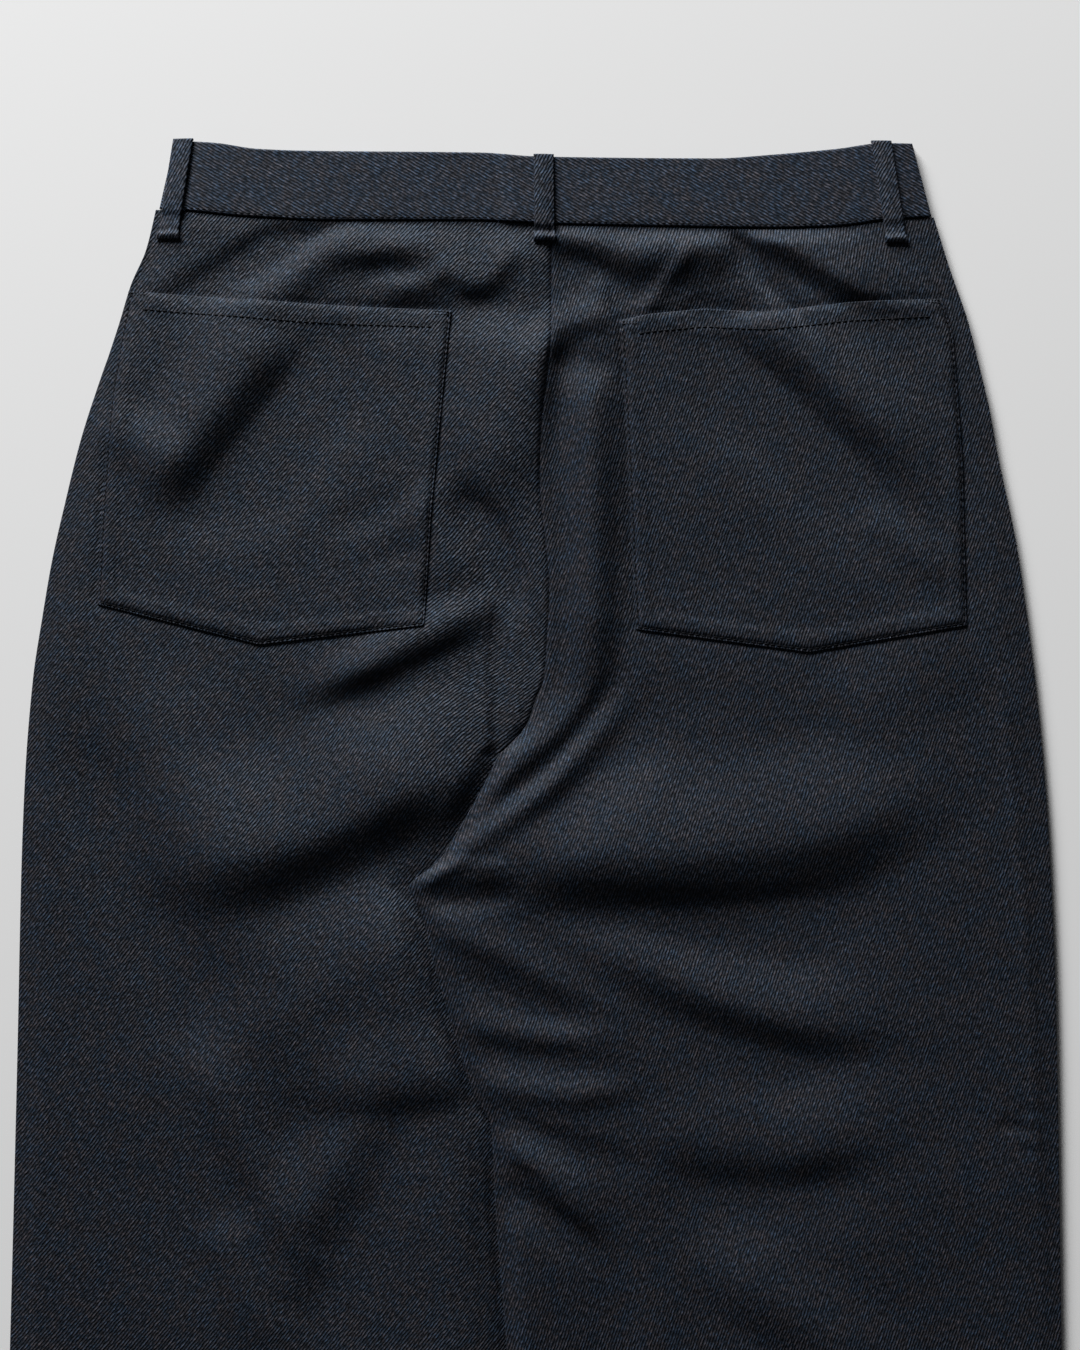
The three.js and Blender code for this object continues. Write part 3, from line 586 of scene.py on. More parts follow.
def garment_piece(name, vertices, faces, material):
    """A smooth mesh in metres that belongs to the garment's cloth."""
    mesh = bpy.data.meshes.new(name)
    mesh.from_pydata(vertices, [], faces)
    mesh.polygons.foreach_set("use_smooth", np.ones(len(faces), bool))
    mesh.materials.append(material)
    mesh.update()
    piece = bpy.data.objects.new(name, mesh)
    bpy.context.scene.collection.objects.link(piece)
    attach(piece, "root")
    return piece


def cloth_shell(name, x, down, low, high, edge, thick, material, grain=0.0, turns=()):
    """A closed cloth wall over a grid of places, between the heights of its two faces, which
    turn together at the edge."""
    turn_in = turned_edge(edge, thick)
    rows, columns = x.shape
    count = rows * columns
    upper = np.stack([x, LENGTH / 2 - down, high - turn_in], -1).reshape(-1, 3)
    lower = np.stack([x, LENGTH / 2 - down, low + turn_in], -1).reshape(-1, 3)
    index = np.arange(count).reshape(rows, columns)
    a, b = index[:-1, :-1].ravel(), index[1:, :-1].ravel()
    c, d = index[1:, 1:].ravel(), index[:-1, 1:].ravel()
    border = np.concatenate([
        index[:-1, 0], index[-1, :-1], index[:0:-1, -1], index[0, :0:-1]])
    after = np.roll(border, -1)
    faces = np.concatenate([
        np.stack([a, b, c, d], -1),
        np.stack([d, c, b, a], -1) + count,
        np.stack([after, border, border + count, after + count], -1)])
    if x[0, -1] < x[0, 0]:
        faces = faces[:, ::-1]
    vertices = (np.concatenate([upper, lower]) * MM).tolist()
    piece = garment_piece(name, vertices, faces.tolist(), material)
    cut = np.stack(cut_place(x, down, grain, turns), -1).reshape(-1, 2)
    layer = piece.data.uv_layers.new(name="cut")
    layer.data.foreach_set(
        "uv", np.tile(cut, (2, 1))[faces.ravel()].ravel().astype(np.float32))
    return piece


def cut_area(x, down):
    """Area of a grid of places in square metres."""
    across_x, across_d = np.diff(x, axis=1)[:-1], np.diff(down, axis=1)[:-1]
    along_x, along_d = np.diff(x, axis=0)[:, :-1], np.diff(down, axis=0)[:, :-1]
    return float(np.abs(across_x * along_d - across_d * along_x).sum()) * MM * MM


def place_node(tree, kind, **settings):
    node = tree.nodes.new(kind)
    for name, value in settings.items():
        setattr(node, name, value)
    return node


def feed(tree, entry, value):
    """Sets a node's input to a number or a colour, or links it to what another puts out."""
    if isinstance(value, (int, float, tuple)):
        entry.default_value = value
    else:
        tree.links.new(value, entry)


def sum_up(tree, operation, *values):
    """A math node over numbers and sockets; returns what it puts out."""
    node = place_node(tree, "ShaderNodeMath", operation=operation)
    for entry, value in zip(node.inputs, values):
        feed(tree, entry, value)
    return node.outputs[0]


def cloud(tree, vector, scale, detail=2.0):
    """Noise over a vector, with an output from 0 to 1."""
    node = place_node(tree, "ShaderNodeTexNoise")
    feed(tree, node.inputs["Scale"], scale)
    feed(tree, node.inputs["Detail"], detail)
    feed(tree, node.inputs["Vector"], vector)
    return node.outputs["Fac"]


def spread(tree, noise, contrast):
    """Noise stretched round its middle, which becomes 0."""
    return sum_up(tree, "MULTIPLY_ADD", noise, contrast, -contrast / 2)


def blend(tree, share, first, second):
    """A colour between two others."""
    node = place_node(tree, "ShaderNodeMix", data_type="RGBA")
    feed(tree, node.inputs["Factor"], share)
    feed(tree, node.inputs[6], first)
    feed(tree, node.inputs[7], second)
    return node.outputs[2]


def effect_group(name, inputs, outputs):
    """An empty node group with sockets given as rows of label, kind and value: the group, what
    enters it, what leaves it, and its math."""
    group = bpy.data.node_groups.new(name, "ShaderNodeTree")
    for way, rows in (("INPUT", inputs), ("OUTPUT", outputs)):
        for label, kind, *value in rows:
            made = group.interface.new_socket(
                name=label, in_out=way, socket_type="NodeSocket" + kind)
            if value:
                made.default_value = value[0]
    enter = place_node(group, "NodeGroupInput").outputs
    leave = place_node(group, "NodeGroupOutput").inputs
    return group, enter, leave, functools.partial(sum_up, group)


# The weave, in metres and turns: its wales and how far they wander, the upright threads across
# them, streaks along them, flecks of single yarns, and what these do to shade and gloss. The
# shade is painted into the colour: painted shade in the valleys between the wales and painted
# highlight on their tops, with the flecks as the yarn's own tone
WALE_SPACING = 0.00148
WALE_ANGLE = math.radians(60.5)
UNEVEN_WEAVE = 0.5
WANDER_SCALE = 260.0
WANDER = 1.1
THREAD_PITCH = 0.36
THREAD_DEPTH = 0.12
STREAK_SCALE = 800.0
STREAK_LENGTH = 0.42
STREAK_CONTRAST = 6.4
STREAK_HEIGHT = 0.34
FLECK_SCALE = 1500.0
FLECK_STRETCH = (1.0, 0.3, 1.0)
FLECK_CONTRAST = 4.6
# Painted shade and highlight: the colour follows the square of the weave's height, darkest in the
# wale valleys and lightest on their tops
SHADE_GAIN, SHADE_BASE, SHADE_LEAST = 2.5, 0.1, 0.12
DULL_GAIN, DULL_BASE, DULL_LEAST = -0.14, 0.64, 0.4
WHOLE_TURN = 2 * math.pi


def twill_group():
    """Heavy twill: steep wales made of short floats of the upright threads. Its Shade output is
    painted shade and highlight for the colour: dark in the wale valleys, light on their tops,
    with flecks of yarn tone.
    """
    group, enter, leave, calc = effect_group(
        "twill_weave",
        [("Cloth", "Vector"), ("Wale Spacing", "Float", WALE_SPACING),
         ("Wale Angle", "Float", WALE_ANGLE), ("Unevenness", "Float", UNEVEN_WEAVE)],
        [("Height", "Float"), ("Shade", "Float"), ("Dullness", "Float")])
    split = place_node(group, "ShaderNodeSeparateXYZ")
    feed(group, split.inputs[0], enter["Cloth"])
    u, v = split.outputs[0], split.outputs[1]
    sine = calc("SINE", enter["Wale Angle"])
    cosine = calc("COSINE", enter["Wale Angle"])
    off = calc("SUBTRACT", calc("MULTIPLY", u, sine), calc("MULTIPLY", v, cosine))
    wander = calc("SUBTRACT", cloud(group, enter["Cloth"], WANDER_SCALE), 0.5)
    wander = calc("MULTIPLY", wander, enter["Unevenness"])
    turns = calc("DIVIDE", off, enter["Wale Spacing"])
    turns = calc("ADD", turns, calc("MULTIPLY", wander, WANDER))
    wale = calc("COSINE", calc("MULTIPLY", turns, WHOLE_TURN))
    wale = calc("MULTIPLY_ADD", wale, 0.5, 0.5)

    thread = calc("DIVIDE", u, calc("MULTIPLY", enter["Wale Spacing"], THREAD_PITCH))
    thread = calc("COSINE", calc("MULTIPLY", thread, WHOLE_TURN))
    thread = calc("MULTIPLY_ADD", thread, THREAD_DEPTH, 1 - THREAD_DEPTH)
    height = calc("MULTIPLY", wale, thread)

    run = calc("ADD", calc("MULTIPLY", u, cosine), calc("MULTIPLY", v, sine))
    streak_place = place_node(group, "ShaderNodeCombineXYZ")
    feed(group, streak_place.inputs[0], off)
    feed(group, streak_place.inputs[1], calc("MULTIPLY", run, STREAK_LENGTH))
    streak = cloud(group, streak_place.outputs[0], STREAK_SCALE)
    streak = spread(group, streak, STREAK_CONTRAST)
    height = calc("ADD", height, calc("MULTIPLY", streak, STREAK_HEIGHT))

    yarn = place_node(group, "ShaderNodeMapping")
    feed(group, yarn.inputs["Scale"], FLECK_STRETCH)
    feed(group, yarn.inputs["Vector"], enter["Cloth"])
    fleck = spread(group, cloud(group, yarn.outputs[0], FLECK_SCALE, 1.0), FLECK_CONTRAST)
    # Painted shade and highlight in the colour, from the wale height; the flecks add yarn tone
    shade = calc("MULTIPLY", height, calc("MAXIMUM", height, 0.0))
    shade = calc("MULTIPLY_ADD", shade, SHADE_GAIN, SHADE_BASE)
    shade = calc("ADD", shade, calc("MULTIPLY", fleck, enter["Unevenness"]))
    dull = calc("MULTIPLY_ADD", height, DULL_GAIN, DULL_BASE)
    feed(group, leave["Height"], height)
    feed(group, leave["Shade"], calc("MAXIMUM", shade, SHADE_LEAST))
    feed(group, leave["Dullness"], calc("MAXIMUM", dull, DULL_LEAST))
    return group


BLUE_DYE = (0.0085, 0.0138, 0.0235, 1.0)
BROWN_DYE = (0.0175, 0.0148, 0.0165, 1.0)
# Clouds of dye, as rows of scale and detail, and how their sum becomes the share of brown
DYE_CLOUDS = [(90.0, 3.0), (420.0, 2.0), (1300.0, 1.0)]
DYE_CONTRAST, DYE_SHIFT = 2.4, -3.1


def dye_and_painted_shade_group():
    """Dark dyed colour that drifts between blue and brown, with small flecks of either, times the
    weave's painted shade and highlight.
    """
    group, enter, leave, calc = effect_group(
        "dye_and_painted_weave_shade",
        [("Cloth", "Vector"), ("Blue", "Color", BLUE_DYE), ("Brown", "Color", BROWN_DYE),
         ("Shade", "Float", 1.0)],
        [("Color", "Color")])
    broad, fine, single = [
        cloud(group, enter["Cloth"], scale, detail) for scale, detail in DYE_CLOUDS]
    brown = calc("ADD", calc("ADD", broad, fine), single)
    brown = calc("MULTIPLY_ADD", brown, DYE_CONTRAST, DYE_SHIFT)
    brown = calc("MINIMUM", calc("MAXIMUM", brown, 0.0), 1.0)
    # The dyed colour is multiplied by the weave's painted shade and highlight
    scaled = place_node(group, "ShaderNodeVectorMath", operation="SCALE")
    feed(group, scaled.inputs[0], blend(group, brown, enter["Blue"], enter["Brown"]))
    feed(group, scaled.inputs["Scale"], enter["Shade"])
    feed(group, leave["Color"], scaled.outputs[0])
    return group


twill_weave = twill_group()
dye_and_painted_weave_shade = dye_and_painted_shade_group()
TWILL_LOOK = {
    "Specular IOR Level": 0.2, "Specular Tint": (0.66, 0.82, 1.0, 1.0), "Sheen Weight": 0.04,
    "Sheen Tint": (0.5, 0.6, 0.8, 1.0), "Sheen Roughness": 0.45}
RELIEF = 0.9
RELIEF_DEPTH = 0.0003


def twill_material(name, blue=BLUE_DYE, brown=BROWN_DYE, uneven=UNEVEN_WEAVE, bump=RELIEF):
    """Dark twill with a soft, dull sheen; its colour carries the weave's painted shade in the wale
    valleys and painted highlight on their tops.
    """
    material, tree, shader = new_material(name, TWILL_LOOK)
    cloth = place_node(tree, "ShaderNodeUVMap", uv_map="cut").outputs[0]
    weave = place_node(tree, "ShaderNodeGroup", node_tree=twill_weave)
    dye_and_painted_shade = place_node(tree, "ShaderNodeGroup", node_tree=dye_and_painted_weave_shade)
    relief = place_node(tree, "ShaderNodeBump")
    # The weave's Shade, painted shade and highlight, scales the dyed colour
    for node, entry, value in (
            (weave, "Cloth", cloth), (weave, "Unevenness", uneven), (dye_and_painted_shade, "Cloth", cloth),
            (dye_and_painted_shade, "Blue", blue), (dye_and_painted_shade, "Brown", brown), (dye_and_painted_shade, "Shade", weave.outputs["Shade"]),
            (relief, "Strength", bump), (relief, "Distance", RELIEF_DEPTH),
            (relief, "Height", weave.outputs["Height"]),
            (shader, "Roughness", weave.outputs["Dullness"]),
            (shader, "Base Color", dye_and_painted_shade.outputs["Color"]),
            (shader, "Normal", relief.outputs["Normal"])):
        feed(tree, node.inputs[entry], value)
    return material


back_twill = twill_material("back_twill")

HALF_SEAM = 0.03
JOINED_OVER = 30.0
GRAIN = {"left": -10.5, "right": 10.5}
FINE_ROWS = 2.2
COARSE_ROWS = 6.5
FINE_TO = 640.0
COLUMN_SPACING = 2.2
WAIST_BLEND = 70.0


def panel_places(side, across, rows):
    """Places of a panel's grid, and their distance from its nearest edge."""
    outer, inner = SIDES[side][:2]
    way = 1 if side == "left" else -1
    widest = abs(inner(CROTCH) - outer(CROTCH))
    offsets = stations(widest, across)
    middle = (offsets > EDGE_STEPS[-1]) & (offsets < widest - EDGE_STEPS[-1])
    share = np.where(middle, (offsets - EDGE_STEPS[-1]) / (widest - 2 * EDGE_STEPS[-1]), 0)
    from_inner = offsets >= widest - EDGE_STEPS[-1]
    start, end = outer(rows)[:, None], inner(rows)[:, None] - way * HALF_SEAM
    width = np.abs(end - start)
    reach = np.where(
        from_inner, width - (widest - offsets),
        np.where(middle, EDGE_STEPS[-1] + share * (width - 2 * EDGE_STEPS[-1]), offsets))
    x = start + way * reach
    down = rows[:, None] + np.zeros_like(x)
    shift = np.clip(1 - (down - FIRST_ROW) / WAIST_BLEND, 0, 1)
    down = down + (waist_seam(x) - FIRST_ROW) * shift
    joined = 1 - smooth((down - SEAM_LETS_GO) / JOINED_OVER)
    sideways = np.minimum(reach, width - reach + EDGE_STEPS[-1] * joined)
    endways = np.minimum(rows - FIRST_ROW, LENGTH - rows)[:, None]
    return x, down, np.minimum(sideways, endways)


def panel_rows(fine, coarse):
    upper = stations(FINE_TO - FIRST_ROW, fine)[:-len(EDGE_STEPS)] + FIRST_ROW
    lower = LENGTH - stations(LENGTH - FINE_TO, coarse)[:-len(EDGE_STEPS)][::-1]
    return np.concatenate([upper, lower[lower > upper[-1] + 1]])


back_rows = panel_rows(FINE_ROWS, COARSE_ROWS)
back_panels = {}
for side in ("left", "right"):
    x, down, edge = panel_places(side, COLUMN_SPACING, back_rows)
    high = back_face(side, x, down)
    name = side + "_back"
    panel = cloth_shell(
        name + "_leg", x, down, high - CLOTH, high, edge, CLOTH, back_twill, GRAIN[side],
        GRAIN_TURNS[side])
    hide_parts(name + "_panel")
    back_panels[side] = (panel, cut_area(x, down), np.ptp(x) * MM)


# The front panels. The same twill, pressed flat on the floor under the back panels; the right
# leg climbs over the left one as its back panel does.
FRONT_ROWS = 8.0
FRONT_COLUMNS = 8.0

front_twill = twill_material("front_twill")
front_rows = panel_rows(FRONT_ROWS, FRONT_ROWS)
for side in ("left", "right"):
    x, down, edge = panel_places(side, FRONT_COLUMNS, front_rows)
    low = ride(side, x, down)
    name = side + "_front"
    panel = cloth_shell(
        name + "_leg", x, down, low, low + CLOTH, edge, CLOTH, front_twill, -GRAIN[side])
    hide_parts(name + "_panel")
    area, width = cut_area(x, down), np.ptp(x) * MM


# The patch pockets. Pentagons of the same twill with a turned hem along the mouth and turned-in
# edges, stitched down all round close to the edge and left open at the top.
POCKET_CLOTH = 0.9
POCKET_OFF = 0.1
POCKET_SPACING = 1.7
# The turned-in edges and the hem: how far they reach, how high, and how softly they end
TURNED_IN = 8.0
TURNED_HEIGHT = 0.4
TURNED_RISE = 3.0
TURNED_FALL = 2.0
HEM_STITCH = 9.0
HEM_HEIGHT = 0.35
HEM_PAST_STITCH = 1.0
HEM_FALL = 2.5
# The stitch lines' places, their grooves as depth and width, and the puckers beside them
STITCH_IN = 1.4
SEWN_GROOVE = (0.45, 0.8)
HEM_GROOVE = (0.4, 1.0)
PUCKERS = [(7.0, 0.12, 11)]
PUCKER_REACH = 6.0


def walk(points):
    """The length of a line of places, and a function that gives the place at a length."""
    points = np.array(points, float)
    lengths = np.concatenate([[0], np.cumsum(np.hypot(*np.diff(points, axis=0).T))])

    def place_at(at):
        return np.stack([np.interp(at, lengths, points[:, k]) for k in (0, 1)])

    return lengths[-1], place_at


def along_edge(edge, share):
    """Places on an edge's line at shares of its length."""
    length, place_at = walk(edge)
    return place_at(share * length)


def patch_size(edges):
    """Width and height of a patch, between the corners of its foot and of its left side."""
    return [np.hypot(*np.subtract(edges[name][0], edges[name][-1])) for name in ("foot", "left")]


def patch_places(edges, spacing):
    """Grid over a patch between its four edges, with distances in from each edge."""
    wide, tall = patch_size(edges)
    u, v = stations(wide, spacing) / wide, stations(tall, spacing) / tall
    mouth, foot = along_edge(edges["mouth"], u), along_edge(edges["foot"], u)
    left, right = along_edge(edges["left"], v), along_edge(edges["right"], v)
    s, t = u[None, :], v[:, None]
    x_d = []
    for k in (0, 1):
        corners = (
            (1 - s) * (1 - t) * mouth[k, 0] + s * (1 - t) * mouth[k, -1]
            + (1 - s) * t * foot[k, 0] + s * t * foot[k, -1])
        x_d.append(
            (1 - t) * mouth[k][None, :] + t * foot[k][None, :]
            + (1 - s) * left[k][:, None] + s * right[k][:, None] - corners)
    from_sides = np.minimum(s, 1 - s) * wide + np.zeros_like(t)
    from_mouth, from_foot = t * tall + np.zeros_like(s), (1 - t) * tall + np.zeros_like(s)
    return x_d[0], x_d[1], from_sides, from_mouth, from_foot


def pocket_relief(from_sides, from_mouth, from_foot, x, down):
    """Height of the pocket's turned edges, hem, stitch lines and puckers."""
    sewn = np.minimum(from_sides, from_foot)
    turned = TURNED_HEIGHT * smooth(sewn / TURNED_RISE)
    turned = turned * (1 - smooth((sewn - TURNED_IN) / TURNED_FALL))
    past_hem = from_mouth - HEM_STITCH
    hem = HEM_HEIGHT * (1 - smooth((past_hem - HEM_PAST_STITCH) / HEM_FALL))
    grooves = dent(sewn - STITCH_IN, *SEWN_GROOVE) + dent(past_hem, *HEM_GROOVE)
    pucker = dent(sewn, unevenness(PUCKERS, x, down), PUCKER_REACH)
    return np.maximum(turned, hem) - grooves + pucker


pocket_twill = twill_material("pocket_twill")
pockets = {}
for side, edges in POCKETS.items():
    x, down, from_sides, from_mouth, from_foot = patch_places(edges, POCKET_SPACING)
    under = back_face(side, x, down) + POCKET_OFF
    nearest = np.minimum(np.minimum(from_sides, from_mouth), from_foot)
    relief = pocket_relief(from_sides, from_mouth, from_foot, x, down)
    name = side + "_back_pocket"
    patch = cloth_shell(
        name + "_patch", x, down, under, under + POCKET_CLOTH + relief, nearest, POCKET_CLOTH,
        pocket_twill, GRAIN[side])
    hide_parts(name)
    pockets[side] = (patch, cut_area(x, down), x, down)


# The stitches. Dark thread, sunk into the cloth in rows of short stitches: round the pockets,
# across their hems, and along the waistband's seam.
THREAD = 0.7
THREAD_SIDES = 6
# Length and step of a seam's stitches and of a bar tack's, and a stitch's rings, as rows of
# share of its length and of its thickness; its ends sink by a share of the thickness
SEAM_STITCH = (2.7, 3.3)
TACK_STITCH = (1.5, 1.6)
THREAD_RINGS = [(-0.5, 0.35), (-0.36, 1.0), (0.0, 1.0), (0.36, 1.0), (0.5, 0.35)]
END_SINKS = 0.3
LOOK_AHEAD = 0.2
THREAD_LOOK = {"Roughness": 0.7, "Specular IOR Level": 0.1}
# Both thread colours are near black: the thread's own dark tone with painted shade added, so the
# rows read as dark lines along the pocket edges and the waistband seam
THREAD_DARK = (0.0015, 0.0018, 0.0027, 1.0)
THREAD_LIGHT = (0.0035, 0.0042, 0.0063, 1.0)
THREAD_TWIST = (4000.0, 1.0)


def stitch_row(points, height, stitch=SEAM_STITCH):
    """Vertices and faces of a row of stitches along a line of places on a surface."""
    whole, place_at = walk(points)
    length, step = stitch
    count = max(1, int(whole / step))
    vertices, faces = [], []
    angles = np.arange(THREAD_SIDES) * 2 * np.pi / THREAD_SIDES
    for i in range(count):
        middle = (i + 0.5) * whole / count
        first = len(vertices)
        for share, wide in THREAD_RINGS:
            at = middle + share * length
            x, down = place_at(at)
            ahead_x, ahead_d = place_at(at + LOOK_AHEAD) - place_at(at - LOOK_AHEAD)
            size = np.hypot(ahead_x, ahead_d)
            side_x, side_d = -ahead_d / size, ahead_x / size
            level = float(height(x, down)) - END_SINKS * THREAD * (2 * abs(share)) ** 2
            for angle in angles:
                off = THREAD / 2 * wide * math.cos(angle)
                up = THREAD / 2 * wide * math.sin(angle)
                vertices.append((
                    (x + side_x * off) * MM, (LENGTH / 2 - down - side_d * off) * MM,
                    (level + up) * MM))
        for ring in range(len(THREAD_RINGS) - 1):
            for k in range(THREAD_SIDES):
                a = first + ring * THREAD_SIDES + k
                b = first + ring * THREAD_SIDES + (k + 1) % THREAD_SIDES
                faces.append((a, a + THREAD_SIDES, b + THREAD_SIDES, b))
        faces.append(tuple(first + k for k in range(THREAD_SIDES)))
        last = first + (len(THREAD_RINGS) - 1) * THREAD_SIDES
        faces.append(tuple(last + k for k in reversed(range(THREAD_SIDES))))
    return vertices, faces


def mottled_material(name, look, grain, dark, light):
    """A material that drifts between two colours by noise of a scale and a detail."""
    material, tree, shader = new_material(name, look)
    place = place_node(tree, "ShaderNodeTexCoord").outputs["Object"]
    shade = blend(tree, cloud(tree, place, *grain), dark, light)
    feed(tree, shader.inputs["Base Color"], shade)
    return material


dark_thread_with_painted_shade = mottled_material(
    "dark_thread_with_painted_shade", THREAD_LOOK, THREAD_TWIST, THREAD_DARK, THREAD_LIGHT)


def sew(name, rows):
    """One object of all the rows of stitches given."""
    vertices, faces = [], []
    for row_vertices, row_faces in rows:
        first = len(vertices)
        vertices += row_vertices
        faces += [tuple(i + first for i in face) for face in row_faces]
    return garment_piece(name, vertices, faces, dark_thread_with_painted_shade)


INSET_GRID = 4.0
FIRST_STITCH = 0.6
LEAST_STEP = 0.3


def inset_line(edges, inset, sides):
    """A line inside a patch, the given distance in from its edges."""
    x, down = patch_places(edges, INSET_GRID)[:2]
    wide, tall = patch_size(edges)
    u, v = stations(wide, INSET_GRID), stations(tall, INSET_GRID)
    s = np.clip(u, inset, wide - inset)
    t = np.clip(v, FIRST_STITCH, tall - inset)

    def at(place_s, place_t):
        i = np.interp(place_s, u, np.arange(len(u)))
        j = np.interp(place_t, v, np.arange(len(v)))
        i0, j0 = int(min(i, len(u) - 2)), int(min(j, len(v) - 2))
        fi, fj = i - i0, j - j0
        return [
            (1 - fj) * ((1 - fi) * g[j0, i0] + fi * g[j0, i0 + 1])
            + fj * ((1 - fi) * g[j0 + 1, i0] + fi * g[j0 + 1, i0 + 1]) for g in (x, down)]

    if sides == "sewn":
        line = [at(inset, place) for place in t]
        line += [at(place, tall - inset) for place in s]
        line += [at(wide - inset, place) for place in t[::-1]]
    else:
        line = [at(place, inset) for place in s]
    kept = [line[0]]
    for place in line[1:]:
        if math.dist(place, kept[-1]) > LEAST_STEP:
            kept.append(place)
    return kept


THREAD_SUNK = 0.16
HEM_THICKER = 0.42
# The bar tacks at the pockets' mouths: where their two rows lie, how long and how slanting
TACK_IN = 1.0
TACK_LENGTH = 8.0
TACK_ROWS = (0.9, 2.3)
TACK_SLANT = 0.3

for side, edges in POCKETS.items():
    patch, area, x, down = pockets[side]

    def on_pocket(px, pd, side=side, lift=0.0):
        face = back_face(side, np.array([px]), np.array([pd]))[0]
        return face + POCKET_OFF + POCKET_CLOTH - THREAD_SUNK + lift

    def on_hem(px, pd, side=side):
        return on_pocket(px, pd, side, HEM_THICKER)

    rows = [
        stitch_row(inset_line(edges, STITCH_IN, "sewn"), on_pocket),
        stitch_row(inset_line(edges, HEM_STITCH, "hem"), on_hem),
    ]
    for corner, way in ((edges["mouth"][0], 1), (edges["mouth"][-1], -1)):
        for inset in TACK_ROWS:
            start = (corner[0] + way * TACK_IN, corner[1] + inset)
            end = (corner[0] + way * (TACK_IN + TACK_LENGTH), corner[1] + inset - TACK_SLANT)
            rows.append(stitch_row([start, end], on_hem, TACK_STITCH))
    threads = sew(side + "_pocket_stitches", rows)
    np.ptp(x) * MM
    np.ptp(down) * MM


# The waistband. A straight strip of the twill folded lengthwise, two layers pressed together,
# sewn to the panels along its lower edge. Its front half lies under its back half.
BAND_CLOTH = 1.8
BAND_SLACK = 1.8
BAND_ROLL = 20.0
# Its ends as x of the left and of the right one, at the upper edge and at the seam
END_TOP = (-185.0, 199.0)
END_SEAM = (-193.0, 209.0)
BAND_LENGTH = END_SEAM[1] - END_SEAM[0]
BAND_WIDTH = 36.0
BAND_SPACING = 2.4
BAND_WAVES = [(26.0, 0.16, 21), (9.0, 0.08, 22)]
BAND_EASE = 4.0
BAND_GROOVE = (0.15, 0.7)
BAND_THREAD_SUNK = 0.2
SEAM_ENDS = (0.012, 0.988)
SEAM_PLACES = 120
# Its front half: the place where it closes, and what lies under it, as rows of share along
# it, half the width and the height
CENTRE_ALONG = 0.505
FRONT_SPACING = 3.0
LIFTED_TO = 0.82
LIFT_SLOPE = 12.0
LIFT_FLAT = 3.0
LOOP_WIDTH = 10.5
FRONT_LOOP_THICK = 1.5
FRONT_LOOPS = {"left_front_loop": 0.24, "right_front_loop": 0.77}
BUTTON_SEAT = (0.475, 7.5, 2.5)
UNDER_BAND = [
    *((share, LOOP_WIDTH / 2, FRONT_LOOP_THICK + GAP) for share in FRONT_LOOPS.values()),
    BUTTON_SEAT,
]


def band_place(along, across):
    """Place on the waistband: along it from 0 to 1, and across it from its top to its seam."""
    top_x, seam_x = mix(*END_TOP, along), mix(*END_SEAM, along)
    down = mix(band_top(top_x), band_seam(seam_x), across)
    return mix(top_x, seam_x, across), down


def band_lift(along):
    lift = np.zeros_like(along)
    for middle, half_width, height in UNDER_BAND:
        beyond = np.abs(along - middle) * BAND_LENGTH - half_width - LIFT_FLAT
        lift = np.maximum(lift, height * (1 - np.clip(beyond / LIFT_SLOPE, 0, 1)))
    return lift


def band_rise(along):
    from_end = np.minimum(along, 1 - along) * BAND_LENGTH
    return np.maximum(band_lift(along), BAND_SLACK * roll(from_end, BAND_ROLL))


def band_along(x, down):
    """How far along the waistband a place lies, from 0 to 1."""
    across = np.clip((down - band_top(x)) / (band_seam(x) - band_top(x)), 0, 1)
    left, right = mix(END_TOP[0], END_SEAM[0], across), mix(END_TOP[1], END_SEAM[1], across)
    return np.clip((x - left) / (right - left), 0, 1)


def band_face(x, down):
    """Upper face of the waistband."""
    return 2 * BAND_CLOTH + GAP + band_rise(band_along(x, down))


BAND_BLUE = (0.0165, 0.0254, 0.0415, 1.0)
BAND_BROWN = (0.0272, 0.0252, 0.0290, 1.0)
band_twill = twill_material("band_twill", BAND_BLUE, BAND_BROWN, uneven=0.4, bump=0.45)
BAND_GRAIN = 90.0


def band_grid(first, last, spacing):
    length = (last - first) * BAND_LENGTH
    along = first + stations(length, spacing) / BAND_LENGTH
    across = stations(BAND_WIDTH, spacing) / BAND_WIDTH
    x, down = band_place(along[None, :], across[:, None])
    edge = inwards(along * BAND_LENGTH, across * BAND_WIDTH)
    return x, down, along[None, :] + np.zeros_like(x), across[:, None] + np.zeros_like(x), edge


x, down, along, across, edge = band_grid(0.0, 1.0, BAND_SPACING)
low = BAND_CLOTH + GAP + band_rise(along)
wave = unevenness(BAND_WAVES, x, down) * smooth(edge / BAND_EASE)
groove = dent((1 - across) * BAND_WIDTH - STITCH_IN, *BAND_GROOVE)
band = cloth_shell(
    "back_band", x, down, low, low + BAND_CLOTH + wave - groove, edge, BAND_CLOTH, band_twill,
    BAND_GRAIN)
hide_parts("back_waistband")


def on_band(px, pd):
    return float(band_face(np.array([px]), np.array([pd]))[0] - BAND_THREAD_SUNK)


seam_line = [
    band_place(share, 1 - STITCH_IN / BAND_WIDTH)
    for share in np.linspace(*SEAM_ENDS, SEAM_PLACES)]
band_threads = sew("band_stitches", [stitch_row(seam_line, on_band)])

half_gap = GAP / 2 / BAND_LENGTH
for name, first, last in (
        ("left_front", 0.0, CENTRE_ALONG - half_gap), ("right_front", CENTRE_ALONG + half_gap, 1.0)):
    x, down, along, across, edge = band_grid(first, last, FRONT_SPACING)
    low = band_lift(along) * (across < LIFTED_TO)
    piece = cloth_shell(
        name + "_band", x, down, low, low + BAND_CLOTH, edge, BAND_CLOTH, band_twill, BAND_GRAIN)
    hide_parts(name + "_waistband")
    np.ptp(x) * MM


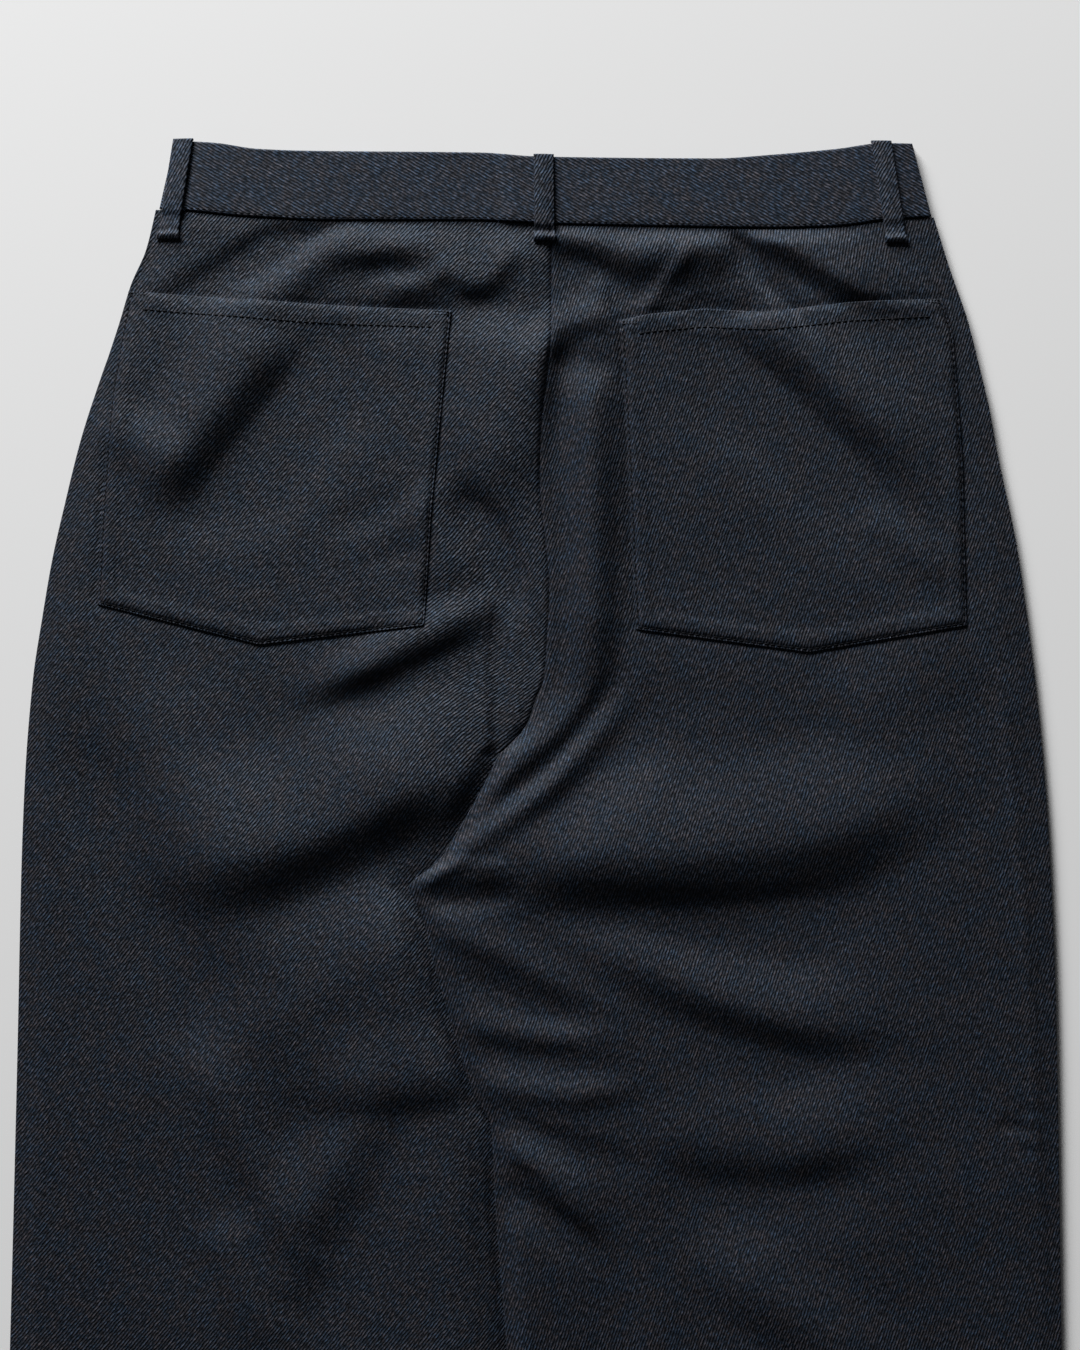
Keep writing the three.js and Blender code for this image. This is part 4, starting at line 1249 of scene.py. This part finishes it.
# The belt loops. Narrow strips of twill folded in three, hooked over the waistband's upper edge,
# lying down its face and ending in a folded bar below the seam.
LOOP_CLOTH = 1.2
LOOP_ROWS, LOOP_COLUMNS = 1.4, 1.0
LOOP_OVER_TOP = 1.0
# Its hook over the upper edge, its arch over the band, its rounded face and its lower end
HOOK_END, HOOK_EASE, HOOK_DROP = 1.1, 0.3, 2.4
ARCH_HEIGHT, ARCH_LENGTH = 0.35, 0.8
CROWN = 0.25
END_ROUNDS = 2.4
# The folded bar at its lower end, and the groove of the bar tack above it
BAR_DEEP, BAR_EASE = 4.6, 1.0
BAR_WIDER = 0.14
BAR_HIGHER = 0.7
TACK_UP = 4.8
TACK_GROOVE = (0.25, 0.7)
# The step from the waistband down to the panel that a loop follows
STEP_START, STEP_REACH = 0.6, 3.2
# Rows of name, x of the upper end, x of the lower end, down of the lower end
BACK_LOOPS = [
    ("left_back_loop", -180.2, -188.6, 53.0),
    ("centre_back_loop", 7.0, 7.6, 54.0),
    ("right_back_loop", 182.2, 190.6, 55.0),
]
# The front loops, in millimetres and in shares of the waistband's width
FRONT_LOOP_ROWS, FRONT_LOOP_COLUMNS = 2.0, 1.2
FRONT_LOOP_TOP, FRONT_LOOP_SPAN, FRONT_LOOP_CUT = 0.02, 0.72, 0.74
loop_twill = twill_material("loop_twill", BAND_BLUE, BAND_BROWN, uneven=0.7, bump=0.7)


def under_loop(x, down):
    """Upper face of the waistband, or of the panel below its seam."""
    panel = np.where(
        x < left_inner(down), back_face("left", x, down), back_face("right", x, down))
    below = smooth((down - band_seam(x) - STEP_START) / STEP_REACH)
    return mix(band_face(x, down), panel, below)


for name, top_x, low_x, low_down in BACK_LOOPS:
    top_down = float(band_top(top_x)) - LOOP_OVER_TOP
    rows = stations(low_down - top_down, LOOP_ROWS) + top_down
    columns = stations(LOOP_WIDTH, LOOP_COLUMNS) - LOOP_WIDTH / 2
    middle = mix(top_x, low_x, rows / low_down)
    bar = smooth((rows - low_down + BAR_DEEP) / BAR_EASE)[:, None]
    x = middle[:, None] + columns[None, :] * (1 + BAR_WIDER * bar)
    down = rows[:, None] + np.zeros_like(x)
    edge = inwards(columns, rows)
    along = ((rows - rows[0]) / (rows[-1] - rows[0]))[:, None]
    arch = ARCH_HEIGHT * np.sin(np.pi * np.clip(along / ARCH_LENGTH, 0, 1))
    crown = CROWN * (1 - (columns / (LOOP_WIDTH / 2)) ** 2)[None, :]
    groove = dent(down - low_down + TACK_UP, *TACK_GROOVE)
    low = under_loop(x, down) + GAP + arch
    end = smooth((rows[-1] - rows) / END_ROUNDS)[:, None]
    high = low + LOOP_CLOTH + crown * end + BAR_HIGHER * bar * end - groove
    hook = 1 - smooth((down - top_down - HOOK_END) / HOOK_EASE)
    loop = cloth_shell(
        name + "_strip", x, down, low - HOOK_DROP * hook, high, edge, LOOP_CLOTH, loop_twill)
    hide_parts(name)

for name, share in FRONT_LOOPS.items():
    columns = share + (stations(LOOP_WIDTH, FRONT_LOOP_COLUMNS) - LOOP_WIDTH / 2) / BAND_LENGTH
    rows = FRONT_LOOP_TOP + stations(FRONT_LOOP_SPAN * BAND_WIDTH, FRONT_LOOP_ROWS) / BAND_WIDTH
    x, down = band_place(columns[None, :], rows[:, None])
    edge = inwards(columns * BAND_LENGTH, rows * BAND_WIDTH)
    flat_on_floor = np.zeros_like(x)
    loop = cloth_shell(
        name + "_strip", x, down, flat_on_floor, flat_on_floor + FRONT_LOOP_THICK, edge,
        FRONT_LOOP_THICK, loop_twill)
    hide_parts(name)

for side in ("left", "right"):
    panel, area, width = back_panels[side]


# The waist button. A dark disc like horn, which lies face down under the front waistband, so
# the solid keeps its shape and only gets its streaked colour here.
HORN_LOOK = {"Roughness": 0.34}
HORN_STREAKS = (420.0, 4.0)
HORN_DARK = (0.006, 0.005, 0.005, 1.0)
HORN_LIGHT = (0.045, 0.034, 0.026, 1.0)

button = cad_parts["waist_button"]
button.material_slots[0].material = mottled_material(
    "dark_horn", HORN_LOOK, HORN_STREAKS, HORN_DARK, HORN_LIGHT)
